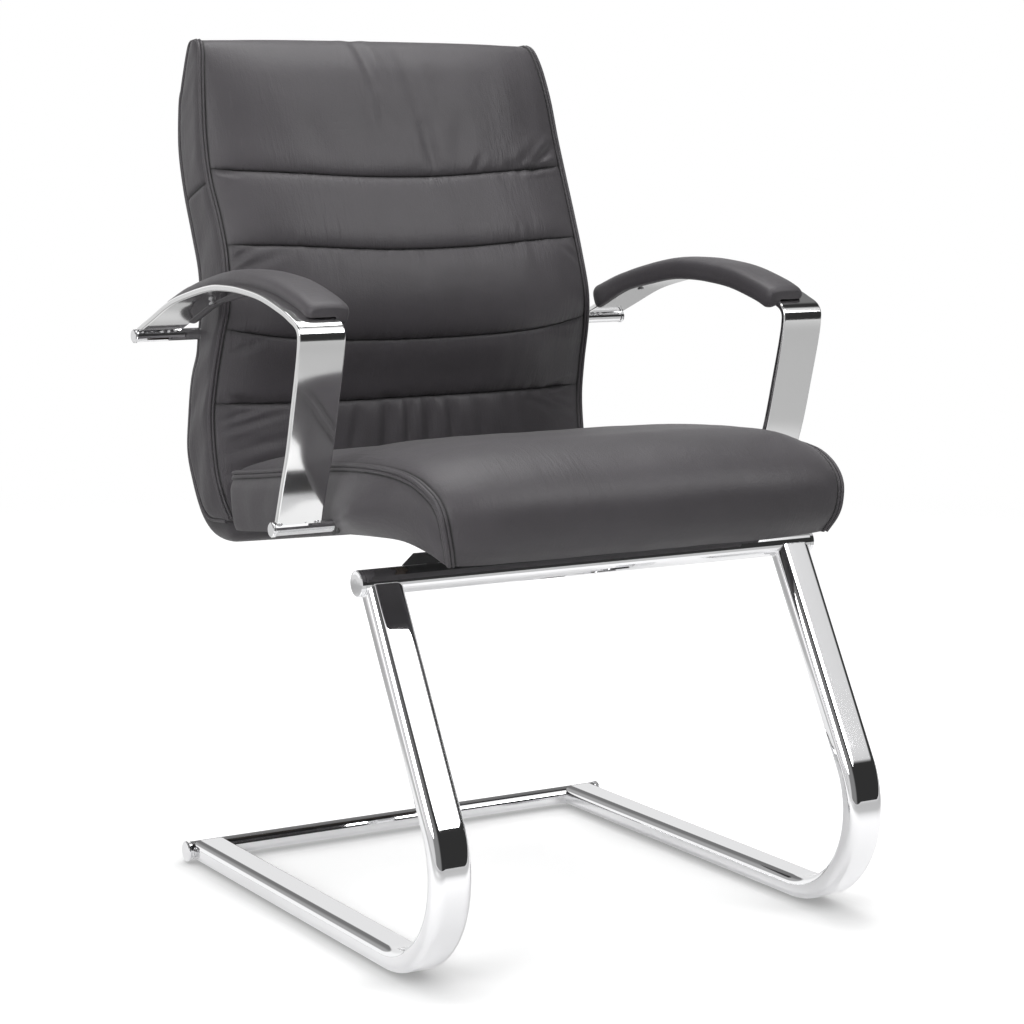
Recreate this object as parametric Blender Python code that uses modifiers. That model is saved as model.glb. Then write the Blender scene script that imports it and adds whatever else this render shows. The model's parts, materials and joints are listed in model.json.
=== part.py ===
import math

import bmesh
import bpy
from mathutils import Matrix, Vector

# Fits between pieces
clearance = 0.0003
cut_overrun = 0.030

# Sled frame
tube_width = 0.045
tube_thickness = 0.025
tube_corner = 0.006
frame_half_width = 0.2835
leg_tilt = math.radians(29.6)
bend_radius = 0.1075
cross_tube_radius = 0.014
cross_tube_rise = 0.390
rear_bar_radius = 0.011
rear_bar_distance = 0.447
rail_end_setback = 0.006
glide_radius = 0.010
glide_thickness = 0.002
glide_setback = 0.050

# Tube end caps
front_cap_length = 0.0065
rear_cap_length = 0.0070
rear_cap_radius = 0.0123
cap_rim = 0.0020
cap_waist_share = 0.72

# Mounting pan, spacers and bolts
pan_half_width = 0.160
pan_depth = 0.135
pan_height = 0.013
pan_flare = 0.012
pan_wall = 0.003
pan_front_share = 0.45
spacer_radius = 0.0065
bolt_spread = 0.140
bolt_front = 0.045
bolt_rear = 0.108
bolt_radius = 0.003
bolt_engagement = 0.008
bolt_head_radius = 0.0065
bolt_head_height = 0.0050

# Shell that carries seat, back and arms
shell_thickness = 0.015
shell_margin = 0.032
shell_height = 0.050
shell_front = 0.088
shell_seat_length = 0.455
shell_top_share = 0.94
shell_bend_share = 0.15
shell_depth_share = 0.55
cover_thickness = 0.002
cover_inset = 0.012
cover_length = 0.400

# Seat cushion
seat_tilt = math.radians(5.1)
seat_half_width = 0.260
seat_front = 0.150
seat_corner_setback = 0.010
seat_length = 0.526
seat_height = 0.139
seat_underside = 0.040

# Backrest
back_front = 0.400
back_bottom = 0.0075
back_height = 0.565
back_sweep = 0.160
back_margin = 0.0025
back_crown = 0.042
top_roll = 0.014
channel_depth = 0.014

# Arms
arm_gap = 0.0195
strip_width = 0.053
strip_thickness = 0.007
strip_edge = 0.001
arm_front = 0.036
arm_crest = 0.2975
arm_rise = 0.239
arm_root_share = 0.4
arm_bar_radius = 0.007
arm_cap_radius = 0.0080
arm_cap_length = 0.0045
collar_radius = 0.011
collar_thickness = 0.003
arm_cap_groove = 0.001
pad_setback = 0.006
pad_length = 0.394
pad_thickness = 0.0155
pad_front_width = 0.053
pad_rear_width = 0.040
pad_inset = 0.017
pad_rear_inset = 0.021
screw_radius = 0.002
screw_engagement = 0.006
screw_head_radius = 0.0040
screw_head_height = 0.0025

# Heights along the backrest, and the depth of its front border and of its rear there
back_rise_shares = (
    0.0, 0.03, 0.08, 0.15, 0.20, 0.26, 0.34, 0.40, 0.46, 0.50,
    0.55, 0.59, 0.63, 0.67, 0.72, 0.80, 0.88, 0.96, 1.0,
)
front_line_shares = (
    -0.02, 0.02, 0.135, 0.195, 0.21, 0.19, 0.12, 0.06, 0.03, 0.05,
    0.10, 0.155, 0.215, 0.285, 0.365, 0.455, 0.525, 0.63, 0.77,
)
rear_line_shares = (
    0.62, 0.67, 0.73, 0.745, 0.71, 0.65, 0.575, 0.59, 0.64, 0.685,
    0.76, 0.81, 0.86, 0.91, 0.965, 1.04, 1.085, 1.02, 0.88,
)

# Outside of the rear panel where it turns under the seat, as depth and height
under_back_shares = ((0.06, -0.030), (0.25, -0.036), (0.41, -0.030), (0.5625, -0.012))

# Half width of the backrest over its height, as height and width
back_width_shares = (
    (0, 0.975), (0.08, 0.99), (0.17, 1), (0.25, 0.995), (0.34, 0.99), (0.41, 0.975), (0.50, 0.955),
    (0.59, 0.95), (0.67, 0.952), (0.745, 0.95), (0.80, 0.945), (0.87, 0.93), (0.92, 0.92), (0.96, 0.90),
    (1, 0.875),
)

# Borders of the back's sewn panels, and the fullness of the cushion at its rows
seam_shares = (0.25, 0.42, 0.59, 0.745)
edge_fullness_share = 0.1
side_fullness_share = 0.65
side_columns = (-1.0, -0.9, -0.5, 0.0, 0.5, 0.9, 1.0)

# Side view of an arm from the rear end over the crest to the front bar, as depth and fall
arch_shares = (
    (1.044, 0.282), (0.95, 0.213), (0.81, 0.109), (0.67, 0.046), (0.54, 0.008), (0.44, 0.0),
    (0.35, 0.004), (0.23, 0.025), (0.112, 0.071), (0.056, 0.103), (0.020, 0.130), (0.002, 0.170),
    (0.002, 0.230), (0.015, 0.33), (0.042, 0.50), (0.075, 0.70), (0.11, 0.86), (0.150, 1.05),
)
front_bar_shares = (0.1585, 1.05)
rear_bar_shares = (1.044, 0.297)
screw_shares = (0.22, 0.80)

# Cage of the seat cushion from front to rear
seat_row_shares = (0, 0.05, 0.14, 0.30, 0.50, 0.70, 0.86, 0.98, 1)
seat_top_shares = (0.56, 0.84, 0.98, 1.0, 0.975, 0.935, 0.905, 0.88, 0.84)
seat_border_shares = (0.46, 0.67, 0.78, 0.835, 0.83, 0.79, 0.775, 0.765, 0.75)
seat_bottom_shares = (0.70, 0.45, 0.72, 1, 1, 1, 1, 1, 1)
seat_nose_shares = (0.12, 0.02, 0.02, 0.12)
seat_side_shares = (0.96, 1.0, 1.0, 0.985)
seat_shoulder_share = 0.8
seat_front_shares = (0.91, 0.95, 0.97, 0.98)
seat_layer_shares = (0, 0.2, 0.85, 1)

# Cage of the back cushion and of the rear panel
back_side_shares = (0.985, 1.0, 0.99)
back_border_share = 0.15
back_shoulder_share = 0.95
back_bottom_fullness_share = 0.3
shoulder_fullness_share = 0.55
top_fullness_share = 0.1
panel_rows = 13
panel_low_share = 0.05
panel_top_share = 0.945
panel_layer_shares = (0, 0.55, 1.13)
panel_side_shares = (0.98, 1.0, 0.96)
panel_edge_share = 0.85

# Cage of an arm pad
pad_rows = 8
pad_columns = (-1.0, -0.7, -0.4, 0.4, 1.0)
pad_corner_share = 0.05
pad_droop_share = 0.3
pad_taper_share = 0.5
pad_end_share = 0.8
pad_bottom_shares = (-1.05, -1.05, -0.2, -0.2, 0.1)
pad_rear_hang_share = 0.2
pad_middle_shares = (0.1, 0.3, 0.4, 0.4, 0.4)
pad_top_shares = (0.75, 0.95, 1.0, 1.0, 0.65)

# Segment counts
bend_steps = 12
round_steps = 32
small_round_steps = 16


def new_collection(name):
    collection = bpy.data.collections.new(name)
    bpy.context.scene.collection.children.link(collection)
    return collection


def new_material(name, colour, metallic, roughness):
    material = bpy.data.materials.new(name)
    material.use_nodes = True
    shader = material.node_tree.nodes["Principled BSDF"]
    shader.inputs["Base Color"].default_value = (*colour, 1)
    shader.inputs["Metallic"].default_value = metallic
    shader.inputs["Roughness"].default_value = roughness
    return material


def new_empty(name, parent=None, location=(0, 0, 0), tilt=0):
    empty = bpy.data.objects.new(name, None)
    empty.location = location
    empty.rotation_euler.x = tilt
    empty.parent = parent
    parts.objects.link(empty)
    return empty


def add_piece(name, data, finish, parent, location=(0, 0, 0)):
    piece = bpy.data.objects.new(name, data)
    data.materials.append(new_material(name, *finish))
    piece.location = location
    piece.parent = parent
    parts.objects.link(piece)
    return piece


def add_cutter(name, data, parent, location=(0, 0, 0)):
    cutter = bpy.data.objects.new(name, data)
    cutter.location = location
    cutter.parent = parent
    cutter.hide_render = True
    cutter.display_type = "WIRE"
    cutters.objects.link(cutter)
    return cutter


def cut(piece, cutter):
    step = piece.modifiers.new(cutter.name, "BOOLEAN")
    step.operation = "DIFFERENCE"
    step.solver = "EXACT"
    step.object = cutter


def subdivide(piece, levels):
    step = piece.modifiers.new("Soft surface", "SUBSURF")
    step.levels = levels
    step.render_levels = levels


def finish_mesh(name, build, smooth_angle=math.radians(35)):
    mesh = bpy.data.meshes.new(name)
    bmesh.ops.recalc_face_normals(build, faces=build.faces)
    build.to_mesh(mesh)
    build.free()
    mesh.shade_smooth()
    mesh.set_sharp_from_angle(angle=smooth_angle)
    return mesh


def box_mesh(name, size):
    build = bmesh.new()
    bmesh.ops.create_cube(build, size=1)
    bmesh.ops.scale(build, vec=size, verts=build.verts)
    return finish_mesh(name, build)


def rod_mesh(name, radius, length, steps=round_steps, along_x=True):
    build = bmesh.new()
    bmesh.ops.create_cone(
        build, cap_ends=True, segments=steps, radius1=radius, radius2=radius, depth=length
    )
    if along_x:
        bmesh.ops.rotate(build, matrix=Matrix.Rotation(math.pi / 2, 3, "Y"), verts=build.verts)
    return finish_mesh(name, build)


def turned_mesh(name, profile):
    build = bmesh.new()
    ring = profile[0] == profile[-1]
    corners = [build.verts.new((radius, 0, height)) for radius, height in profile[ring:]]
    for start, end in zip(corners, corners[1:]):
        build.edges.new((start, end))
    if ring:
        build.edges.new((corners[-1], corners[0]))
    mesh = bpy.data.meshes.new(name)
    build.to_mesh(mesh)
    build.free()
    return mesh


def turn(piece, steps=round_steps):
    step = piece.modifiers.new("Turned", "SCREW")
    step.axis = "Z"
    step.steps = steps
    step.render_steps = steps
    step.use_merge_vertices = True
    step.merge_threshold = 0.00001
    step.use_smooth_shade = True


def smooth_line(points, steps):
    points = [Vector(point) for point in points]
    ends = [2 * points[0] - points[1]] + points + [2 * points[-1] - points[-2]]
    line = []
    for before, start, end, after in zip(ends, ends[1:], ends[2:], ends[3:]):
        for step in range(steps):
            t = step / steps
            pull = (end - before) * t + (2 * before - 5 * start + 4 * end - after) * t ** 2
            line.append(start + (pull + (3 * start - before - 3 * end + after) * t ** 3) / 2)
    return line + [points[-1]]


def resample(line, count):
    lengths = [0]
    for start, end in zip(line, line[1:]):
        lengths.append(lengths[-1] + (end - start).length)
    spaced = []
    for step in range(count):
        target = lengths[-1] * step / (count - 1)
        index = max(1, next((i for i, length in enumerate(lengths) if length >= target), len(line) - 1))
        run = lengths[index] - lengths[index - 1]
        spaced.append(line[index - 1].lerp(line[index], (target - lengths[index - 1]) / run))
    return spaced


def offset_line(line, distance):
    moved = []
    for index, point in enumerate(line):
        ahead = line[min(index + 1, len(line) - 1)] - line[max(index - 1, 0)]
        moved.append(point + Vector((ahead.y, -ahead.x)).normalized() * distance)
    return moved


def slab_curve(name, outline, half_width):
    # A 2D curve lies in its own XY plane, so depth and height are turned onto Y and Z by the object
    curve = bpy.data.curves.new(name, "CURVE")
    curve.dimensions = "2D"
    curve.fill_mode = "BOTH"
    curve.extrude = half_width
    spline = curve.splines.new("POLY")
    spline.points.add(len(outline) - 1)
    for point, corner in zip(spline.points, outline):
        point.co = (corner.x, corner.y, 0, 1)
    spline.use_cyclic_u = True
    return curve


def mesh_from_curve(name, curve, turned=None):
    holder = bpy.data.objects.new(name, curve)
    parts.objects.link(holder)
    bpy.context.view_layer.update()
    mesh = bpy.data.meshes.new_from_object(holder.evaluated_get(bpy.context.evaluated_depsgraph_get()))
    bpy.data.objects.remove(holder)
    build = bmesh.new()
    build.from_mesh(mesh)
    bpy.data.meshes.remove(mesh)
    bmesh.ops.remove_doubles(build, verts=build.verts, dist=0.00001)
    if turned:
        bmesh.ops.transform(build, matrix=turned, verts=build.verts)
    return finish_mesh(name, build)


def slab_mesh(name, outline, half_width):
    onto_side = Matrix(((0, 0, 1, 0), (1, 0, 0, 0), (0, 1, 0, 0), (0, 0, 0, 1)))
    return mesh_from_curve(name, slab_curve(name, outline, half_width), onto_side)


def swept_mesh(name, line, width, thickness, corner, corner_steps):
    outline = []
    for turn_index, (side_x, side_y) in enumerate(((1, 1), (-1, 1), (-1, -1), (1, -1))):
        centre = Vector((side_x * (width / 2 - corner), side_y * (thickness / 2 - corner)))
        for step in range(corner_steps + 1):
            angle = (turn_index + step / corner_steps) * math.pi / 2
            outline.append(centre + corner * Vector((math.cos(angle), math.sin(angle))))
    section = bpy.data.curves.new(name + "_section", "CURVE")
    spline = section.splines.new("POLY")
    spline.points.add(len(outline) - 1)
    for point, place in zip(spline.points, outline):
        point.co = (place.x, place.y, 0, 1)
    spline.use_cyclic_u = True
    guide = add_cutter(name + "_section", section, None)
    curve = bpy.data.curves.new(name, "CURVE")
    curve.dimensions = "3D"
    curve.bevel_mode = "OBJECT"
    curve.bevel_object = guide
    curve.use_fill_caps = True
    spline = curve.splines.new("POLY")
    spline.points.add(len(line) - 1)
    for point, place in zip(spline.points, line):
        point.co = (0, place.x, place.y, 1)
    mesh = mesh_from_curve(name, curve)
    bpy.data.objects.remove(guide)
    return mesh


def lattice_mesh(name, counts, place):
    build = bmesh.new()
    bmesh.ops.create_cube(build, size=1)
    for axis, count in enumerate(counts):
        along = [
            edge for edge in build.edges
            if abs(edge.verts[0].co[axis] - edge.verts[1].co[axis]) > 0.5
        ]
        bmesh.ops.subdivide_edges(build, edges=along, cuts=count - 1, use_grid_fill=True)
    for corner in build.verts:
        steps = [round((value + 0.5) * count) for value, count in zip(corner.co, counts)]
        corner.co = place(*steps)
    return finish_mesh(name, build, math.pi)


# Fresh scene
for old in list(bpy.data.objects):
    bpy.data.objects.remove(old)
parts = new_collection("visitor_chair")
cutters = new_collection("cutters")

# Finishes as colour, metallic and roughness
chrome = ((0.80, 0.80, 0.82), 1.0, 0.08)
bright_metal = ((0.78, 0.78, 0.79), 1.0, 0.18)
steel = ((0.45, 0.45, 0.46), 1.0, 0.35)
leather = ((0.085, 0.085, 0.088), 0.0, 0.45)
plywood = ((0.52, 0.36, 0.20), 0.0, 0.65)
black_plastic = ((0.02, 0.02, 0.02), 0.0, 0.5)
dust_cloth = ((0.03, 0.03, 0.03), 0.0, 0.9)

# Frame lines, measured from the axis of the cross tube
axis_height = glide_thickness + tube_thickness / 2 + cross_tube_rise
leg_way = Vector((-math.sin(leg_tilt), -math.cos(leg_tilt)))
rail_drop = tube_thickness / 2 - axis_height + glide_thickness
bend_centre = Vector((0, rail_drop + bend_radius))
bend_centre.x = (bend_centre.y * math.sin(leg_tilt) + bend_radius) / math.cos(leg_tilt)
frame_front = bend_centre.x - bend_radius - tube_thickness / 2
chair_back = back_front + back_sweep * max(rear_line_shares)
chair = new_empty("chair", location=(0, -(frame_front + chair_back) / 2, axis_height))
seat_frame = new_empty("seat_frame", chair, tilt=-seat_tilt)

# Half widths that follow the seat's
shell_half_width = seat_half_width - shell_margin
back_half_width = seat_half_width - back_margin
arm_half_span = seat_half_width + arm_gap + strip_width

# Cutters that several pieces share
cutter_length = 2 * arm_half_span
rear_bar_place = (0, rear_bar_distance, rail_drop)
cross_tube_cutter = add_cutter(
    "cross_tube_cutter", rod_mesh("cross_tube_cutter", cross_tube_radius + clearance, cutter_length), chair
)
rear_bar_cutter = add_cutter(
    "rear_bar_cutter", rod_mesh("rear_bar_cutter", rear_bar_radius + clearance, cutter_length), chair,
    rear_bar_place
)

# Round cross members with their end caps
cross_tube_mesh = rod_mesh("front_cross_tube", cross_tube_radius, 2 * frame_half_width)
add_piece("front_cross_tube", cross_tube_mesh, chrome, chair)
rear_bar_mesh = rod_mesh("rear_floor_bar", rear_bar_radius, 2 * frame_half_width)
add_piece("rear_floor_bar", rear_bar_mesh, chrome, chair, rear_bar_place)
dome = [
    (cross_tube_radius * math.sin(angle), front_cap_length - cap_rim + cap_rim * math.cos(angle))
    for angle in (step * math.pi / 2 / 4 for step in range(5))
]
front_cap_profile = dome + [(cross_tube_radius, 0), (0, 0)]
rear_cap_profile = [
    (0, rear_cap_length),
    (rear_cap_radius - cap_rim / 2, rear_cap_length),
    (rear_cap_radius, rear_cap_length - cap_rim / 2),
    (rear_cap_radius, rear_cap_length - cap_rim),
    (rear_cap_radius * cap_waist_share, (rear_cap_length - cap_rim) / 2),
    (rear_bar_radius, cap_rim / 2),
    (rear_bar_radius, 0),
    (0, 0),
]


def frame_cap(name, profile, place):
    for side, word in ((-1, "right"), (1, "left")):
        location = (side * (frame_half_width + clearance), place[1], place[2])
        cap = add_piece(name + "_" + word, turned_mesh(name, profile), chrome, chair, location)
        cap.rotation_euler.y = side * math.pi / 2
        turn(cap, small_round_steps + small_round_steps // 2)


frame_cap("front_tube_cap", front_cap_profile, (0, 0, 0))
frame_cap("rear_bar_cap", rear_cap_profile, rear_bar_place)

# Side tubes: leg, floor bend and rail in one
tube_line = [Vector((0, 0))]
for step in range(bend_steps + 1):
    angle = math.pi - leg_tilt + (math.pi / 2 + leg_tilt) * step / bend_steps
    tube_line.append(bend_centre + bend_radius * Vector((math.cos(angle), math.sin(angle))))
tube_line.append(Vector((rear_bar_distance - rail_end_setback, rail_drop)))
for side, word in ((-1, "right"), (1, "left")):
    tube_mesh = swept_mesh("side_tube_" + word, tube_line, tube_width, tube_thickness, tube_corner, 3)
    centre = side * (frame_half_width - tube_width / 2)
    tube = add_piece("side_tube_" + word, tube_mesh, chrome, chair, (centre, 0, 0))
    cut(tube, cross_tube_cutter)
    cut(tube, rear_bar_cutter)
    for end, y in (("front", bend_centre.x + glide_setback), ("rear", rear_bar_distance - glide_setback)):
        glide_mesh = rod_mesh("floor_glide", glide_radius, glide_thickness, small_round_steps, False)
        glide_z = rail_drop - tube_thickness / 2 - glide_thickness / 2
        add_piece("floor_glide_" + end + "_" + word, glide_mesh, black_plastic, chair, (centre, y, glide_z))

# Shell line in side view: seat, bend and back
def on_seat(depth, height):
    return Vector((
        depth * math.cos(seat_tilt) + height * math.sin(seat_tilt),
        height * math.cos(seat_tilt) - depth * math.sin(seat_tilt),
    ))


def back_points(shares, low=0, high=1):
    return [
        Vector((back_front + back_sweep * share, back_bottom + back_height * rise))
        for rise, share in zip(back_rise_shares, shares) if low <= rise <= high
    ]


def at_height(line, height):
    for low, high in zip(line, line[1:]):
        if height <= high.y:
            return low.x + (high.x - low.x) * (height - low.y) / (high.y - low.y)
    return line[-1].x


front_line = smooth_line(back_points(front_line_shares), 4)
rear_line = smooth_line(back_points(rear_line_shares), 4)
middle_shares = [
    front + (rear - front) * shell_depth_share
    for front, rear in zip(front_line_shares, rear_line_shares)
]
side_line = smooth_line([
    Vector((back_half_width * share, back_bottom + back_height * rise))
    for rise, share in back_width_shares
], 4)
back_run = smooth_line(back_points(middle_shares, shell_bend_share, shell_top_share), 2)
seat_end = on_seat(shell_seat_length - shell_front, shell_height)
corner = Vector((back_run[0].x, seat_end.y - (back_run[0].x - seat_end.x) * math.tan(seat_tilt)))
bend_run = []
for step in range(bend_steps):
    share = step / bend_steps
    bend_run.append(seat_end.lerp(corner, share).lerp(corner.lerp(back_run[0], share), share))
shell_line = [on_seat(-shell_front, shell_height)] + bend_run + back_run
half_shell = shell_thickness / 2


def shell_band(inner, outer, line):
    return offset_line(line, inner) + offset_line(line, outer)[::-1]


# The shell with the room that seat, back and rear panel leave for it
shell_mesh = slab_mesh("shell", shell_band(-half_shell, half_shell, shell_line), shell_half_width)
shell = add_piece("seat_and_back_shell", shell_mesh, plywood, chair)
run_out = shell_line.copy()
run_out[0] = shell_line[0] + (shell_line[0] - shell_line[1]).normalized() * clearance
top_way = (shell_line[-1] - shell_line[-2]).normalized()
run_out[-1] = shell_line[-1] + top_way * clearance
border_line = run_out + [shell_line[-1] + top_way * cut_overrun]
cushion_room = add_cutter("cushion_room", slab_mesh(
    "cushion_room", shell_band(-half_shell - clearance, shell_thickness, run_out),
    shell_half_width + clearance,
), chair)
border_room = add_cutter("border_room", slab_mesh(
    "border_room", shell_band(half_shell, half_shell + cut_overrun, border_line), arm_half_span
), chair)
panel_room = add_cutter("panel_room", slab_mesh(
    "panel_room", shell_band(-half_shell - cut_overrun, half_shell + clearance, border_line), arm_half_span
), chair)

# Mounting pan on the cross tube
pan = bmesh.new()
bmesh.ops.create_cube(pan, size=1)
bmesh.ops.scale(pan, vec=(2 * pan_half_width, pan_depth, pan_height), verts=pan.verts)
for pan_corner in pan.verts:
    if pan_corner.co.z > 0:
        pan_corner.co.x -= math.copysign(pan_flare, pan_corner.co.x)
        pan_corner.co.y -= math.copysign(pan_flare, pan_corner.co.y) / 2
lowest = min(pan.faces, key=lambda face: face.calc_center_median().z)
bmesh.ops.delete(pan, geom=[lowest], context="FACES_ONLY")
pan_front = cross_tube_radius * pan_front_share
pan_place = (0, pan_front + pan_depth / 2, cross_tube_radius - pan_height / 2)
mounting_pan = add_piece("mounting_pan", finish_mesh("mounting_pan", pan), chrome, seat_frame, pan_place)
walls = mounting_pan.modifiers.new("Sheet", "SOLIDIFY")
walls.thickness = pan_wall
walls.offset = -1
cut(mounting_pan, cross_tube_cutter)

# Dust cover under the seat part of the shell
cover_top = shell_height - half_shell - clearance
cover_mesh = box_mesh(
    "dust_cover", (2 * (shell_half_width - cover_inset), cover_length, cover_thickness)
)
cover_place = (0, cover_inset - shell_front + cover_length / 2, cover_top - cover_thickness / 2)
dust_cover = add_piece("dust_cover", cover_mesh, dust_cloth, seat_frame, cover_place)

# Four bolts from the pan through spacers into the shell
pan_top = cross_tube_radius
spacer_height = shell_height - half_shell - pan_top - 2 * clearance
hole_radius = bolt_radius + clearance
spacer_profile = [
    (hole_radius, spacer_height), (spacer_radius, spacer_height), (spacer_radius, 0), (hole_radius, 0),
    (hole_radius, spacer_height),
]
shank_length = pan_wall + clearance + spacer_height + 2 * clearance + bolt_engagement
bolt_profile = [
    (0, shank_length), (bolt_radius, shank_length), (bolt_radius, 0), (bolt_head_radius, 0),
    (bolt_head_radius, -bolt_head_height), (0, -bolt_head_height),
]
head_seat = pan_top - pan_wall - clearance
for side, word in ((-1, "right"), (1, "left")):
    for end, y in (("front", bolt_front), ("rear", bolt_rear)):
        tail = "_" + end + "_" + word
        place = (side * bolt_spread, y, pan_top + clearance)
        spacer_mesh = turned_mesh("spacer", spacer_profile)
        turn(add_piece("seat_spacer" + tail, spacer_mesh, black_plastic, seat_frame, place), small_round_steps)
        place = (side * bolt_spread, y, head_seat)
        bolt_mesh = turned_mesh("bolt", bolt_profile)
        turn(add_piece("seat_bolt" + tail, bolt_mesh, steel, seat_frame, place), small_round_steps)
        drill = rod_mesh("bolt_hole", hole_radius, 2 * (shank_length + clearance), small_round_steps, False)
        hole = add_cutter("bolt_hole" + tail, drill, seat_frame, place)
        room = add_cutter("spacer_room" + tail, rod_mesh(
            "spacer_room", spacer_radius + clearance, 3 * cover_thickness, small_round_steps, False
        ), seat_frame, (side * bolt_spread, y, cover_top - cover_thickness / 2))
        cut(mounting_pan, hole)
        cut(shell, hole)
        cut(dust_cover, room)

# Seat cushion, with its waterfall front
def place_seat(column, row, layer):
    across = side_columns[column]
    edge = abs(across) == 1
    depth = seat_length * seat_row_shares[row] - seat_front
    top = seat_height * seat_top_shares[row]
    border = seat_height * seat_border_shares[row]
    bottom = seat_underside * seat_bottom_shares[row]
    height = bottom + (border - bottom) * seat_layer_shares[layer]
    if layer == 3 and not edge:
        height = top - (top - border) * abs(across) ** 4 * (1 - seat_shoulder_share)
    if row == 0:
        depth += seat_nose_shares[layer] * seat_height
    width = seat_half_width * (seat_side_shares[layer] if edge else 1)
    corner_fade = max(0, 1 - row / 2)
    width *= 1 - (1 - seat_front_shares[layer]) * corner_fade
    if edge:
        depth += seat_corner_setback * corner_fade
    return (width * across, depth, height)


seat_cushion = add_piece(
    "seat_cushion", lattice_mesh("seat_cushion", (6, 8, 3), place_seat), leather, seat_frame
)
subdivide(seat_cushion, 1)
cut(seat_cushion, cushion_room)

# Back cushion, sewn into panels
borders = (0, *seam_shares, 1)
back_rows = []
for low, high in zip(borders, borders[1:]):
    back_rows += [low, (low + high) / 2]
back_rows += [back_shoulder_share, 1]
back_fullness = [
    back_bottom_fullness_share if row == 0
    else top_fullness_share if row == len(back_rows) - 1
    else shoulder_fullness_share if row == len(back_rows) - 2
    else 1
    for row in range(len(back_rows))
]
across_fullness = {
    1: edge_fullness_share,
    side_columns[-2]: side_fullness_share,
    side_columns[-3]: 1,
    0: 1,
}
shell_low = min(shell_line, key=lambda point: point.y)
rising_line = [point for point in shell_line if point.x >= shell_low.x]


def place_back(column, layer, row):
    across = side_columns[column]
    edge = abs(across) == 1
    rise = back_rows[row]
    height = back_bottom + back_height * rise
    border = at_height(front_line, height)
    behind = at_height(rising_line, max(height, rising_line[0].y))
    behind += shell_thickness if rise < shell_top_share else half_shell
    if layer == 0:
        fullness = back_fullness[row] * across_fullness[abs(across)]
        depth = border - back_crown * fullness
        if rise in seam_shares:
            depth += channel_depth
    elif layer == 1:
        depth = border + (behind - border) * back_border_share
    else:
        depth = behind
    width = at_height(side_line, height) * (back_side_shares[layer] if edge else 1)
    if row == len(back_rows) - 1 and layer != 1:
        height -= top_roll
    return (width * across, depth, height)


back_cushion = add_piece(
    "back_cushion", lattice_mesh("back_cushion", (6, 2, len(back_rows) - 1), place_back), leather, chair
)
subdivide(back_cushion, 1)
cut(back_cushion, border_room)
cut(back_cushion, cushion_room)

# Padded rear panel, from under the seat's rear edge up the back of the shell
panel_inner = resample(offset_line(shell_line[1:], 0), panel_rows + 1)
under = [
    Vector((back_front + back_sweep * depth, back_bottom + back_height * rise))
    for depth, rise in under_back_shares
]
panel_low = back_bottom + back_height * panel_low_share
panel_top = back_bottom + back_height * panel_top_share
outside = [point for point in rear_line if panel_low <= point.y <= panel_top]
panel_outer = resample(smooth_line(under + outside[::2], 2), panel_rows + 1)


def place_panel(column, layer, row):
    across = side_columns[column]
    edge = abs(across) == 1
    reach = panel_layer_shares[layer]
    if layer == 2 and (edge or row in (0, panel_rows)):
        reach = panel_edge_share
    spot = panel_inner[row].lerp(panel_outer[row], reach)
    width = at_height(side_line, spot.y) * (panel_side_shares[layer] if edge else 1)
    return (width * across, spot.x, spot.y)


rear_panel = add_piece(
    "back_rear_panel", lattice_mesh("back_rear_panel", (6, 2, panel_rows), place_panel), leather, chair
)
subdivide(rear_panel, 1)
cut(rear_panel, panel_room)

# Arm lines in side view, and the places of the bars that carry each arm
arm_root = back_front + back_sweep * arm_root_share
arm_reach = (arm_root - arm_front) / rear_bar_shares[0]


def on_arm(depth, fall):
    return Vector((arm_front + arm_reach * depth, arm_crest - arm_rise * fall))


arch = smooth_line([on_arm(*shares) for shares in arch_shares], 3)
front_bar = on_arm(*front_bar_shares)
rear_bar = on_arm(*rear_bar_shares)
strip_line = offset_line(arch, -strip_thickness / 2)
strip_line[0] = rear_bar
strip_line[-1] = front_bar
arm_centre = arm_half_span - strip_width / 2
bar_length = arm_half_span - shell_half_width - clearance
screw_line = arm_half_span - pad_inset - pad_front_width / 2
cap_profile = [
    (0, arm_cap_length), (arm_cap_radius - arm_cap_groove, arm_cap_length),
    (arm_cap_radius, arm_cap_length - arm_cap_groove), (arm_cap_radius, arm_cap_length * 2 / 3),
    (arm_cap_radius - arm_cap_groove, arm_cap_length / 2), (arm_cap_radius, arm_cap_length / 3),
    (arm_cap_radius, 0), (0, 0),
]
collar_profile = [
    (arm_bar_radius + clearance, collar_thickness), (collar_radius, collar_thickness), (collar_radius, 0),
    (arm_bar_radius + clearance, 0), (arm_bar_radius + clearance, collar_thickness),
]
pad_start = next(i for i, point in enumerate(arch) if point.x < arm_front + pad_setback + pad_length)
pad_stop = next(i for i, point in enumerate(arch) if point.x < arm_front + arm_reach * pad_corner_share)
pad_path = arch[pad_start:pad_stop]
pad_nose = pad_path[-1].x - arm_front - pad_setback
pad_path.append(pad_path[-1] - Vector((pad_nose, pad_nose * pad_droop_share)))
pad_line = resample(pad_path, pad_rows + 1)


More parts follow.
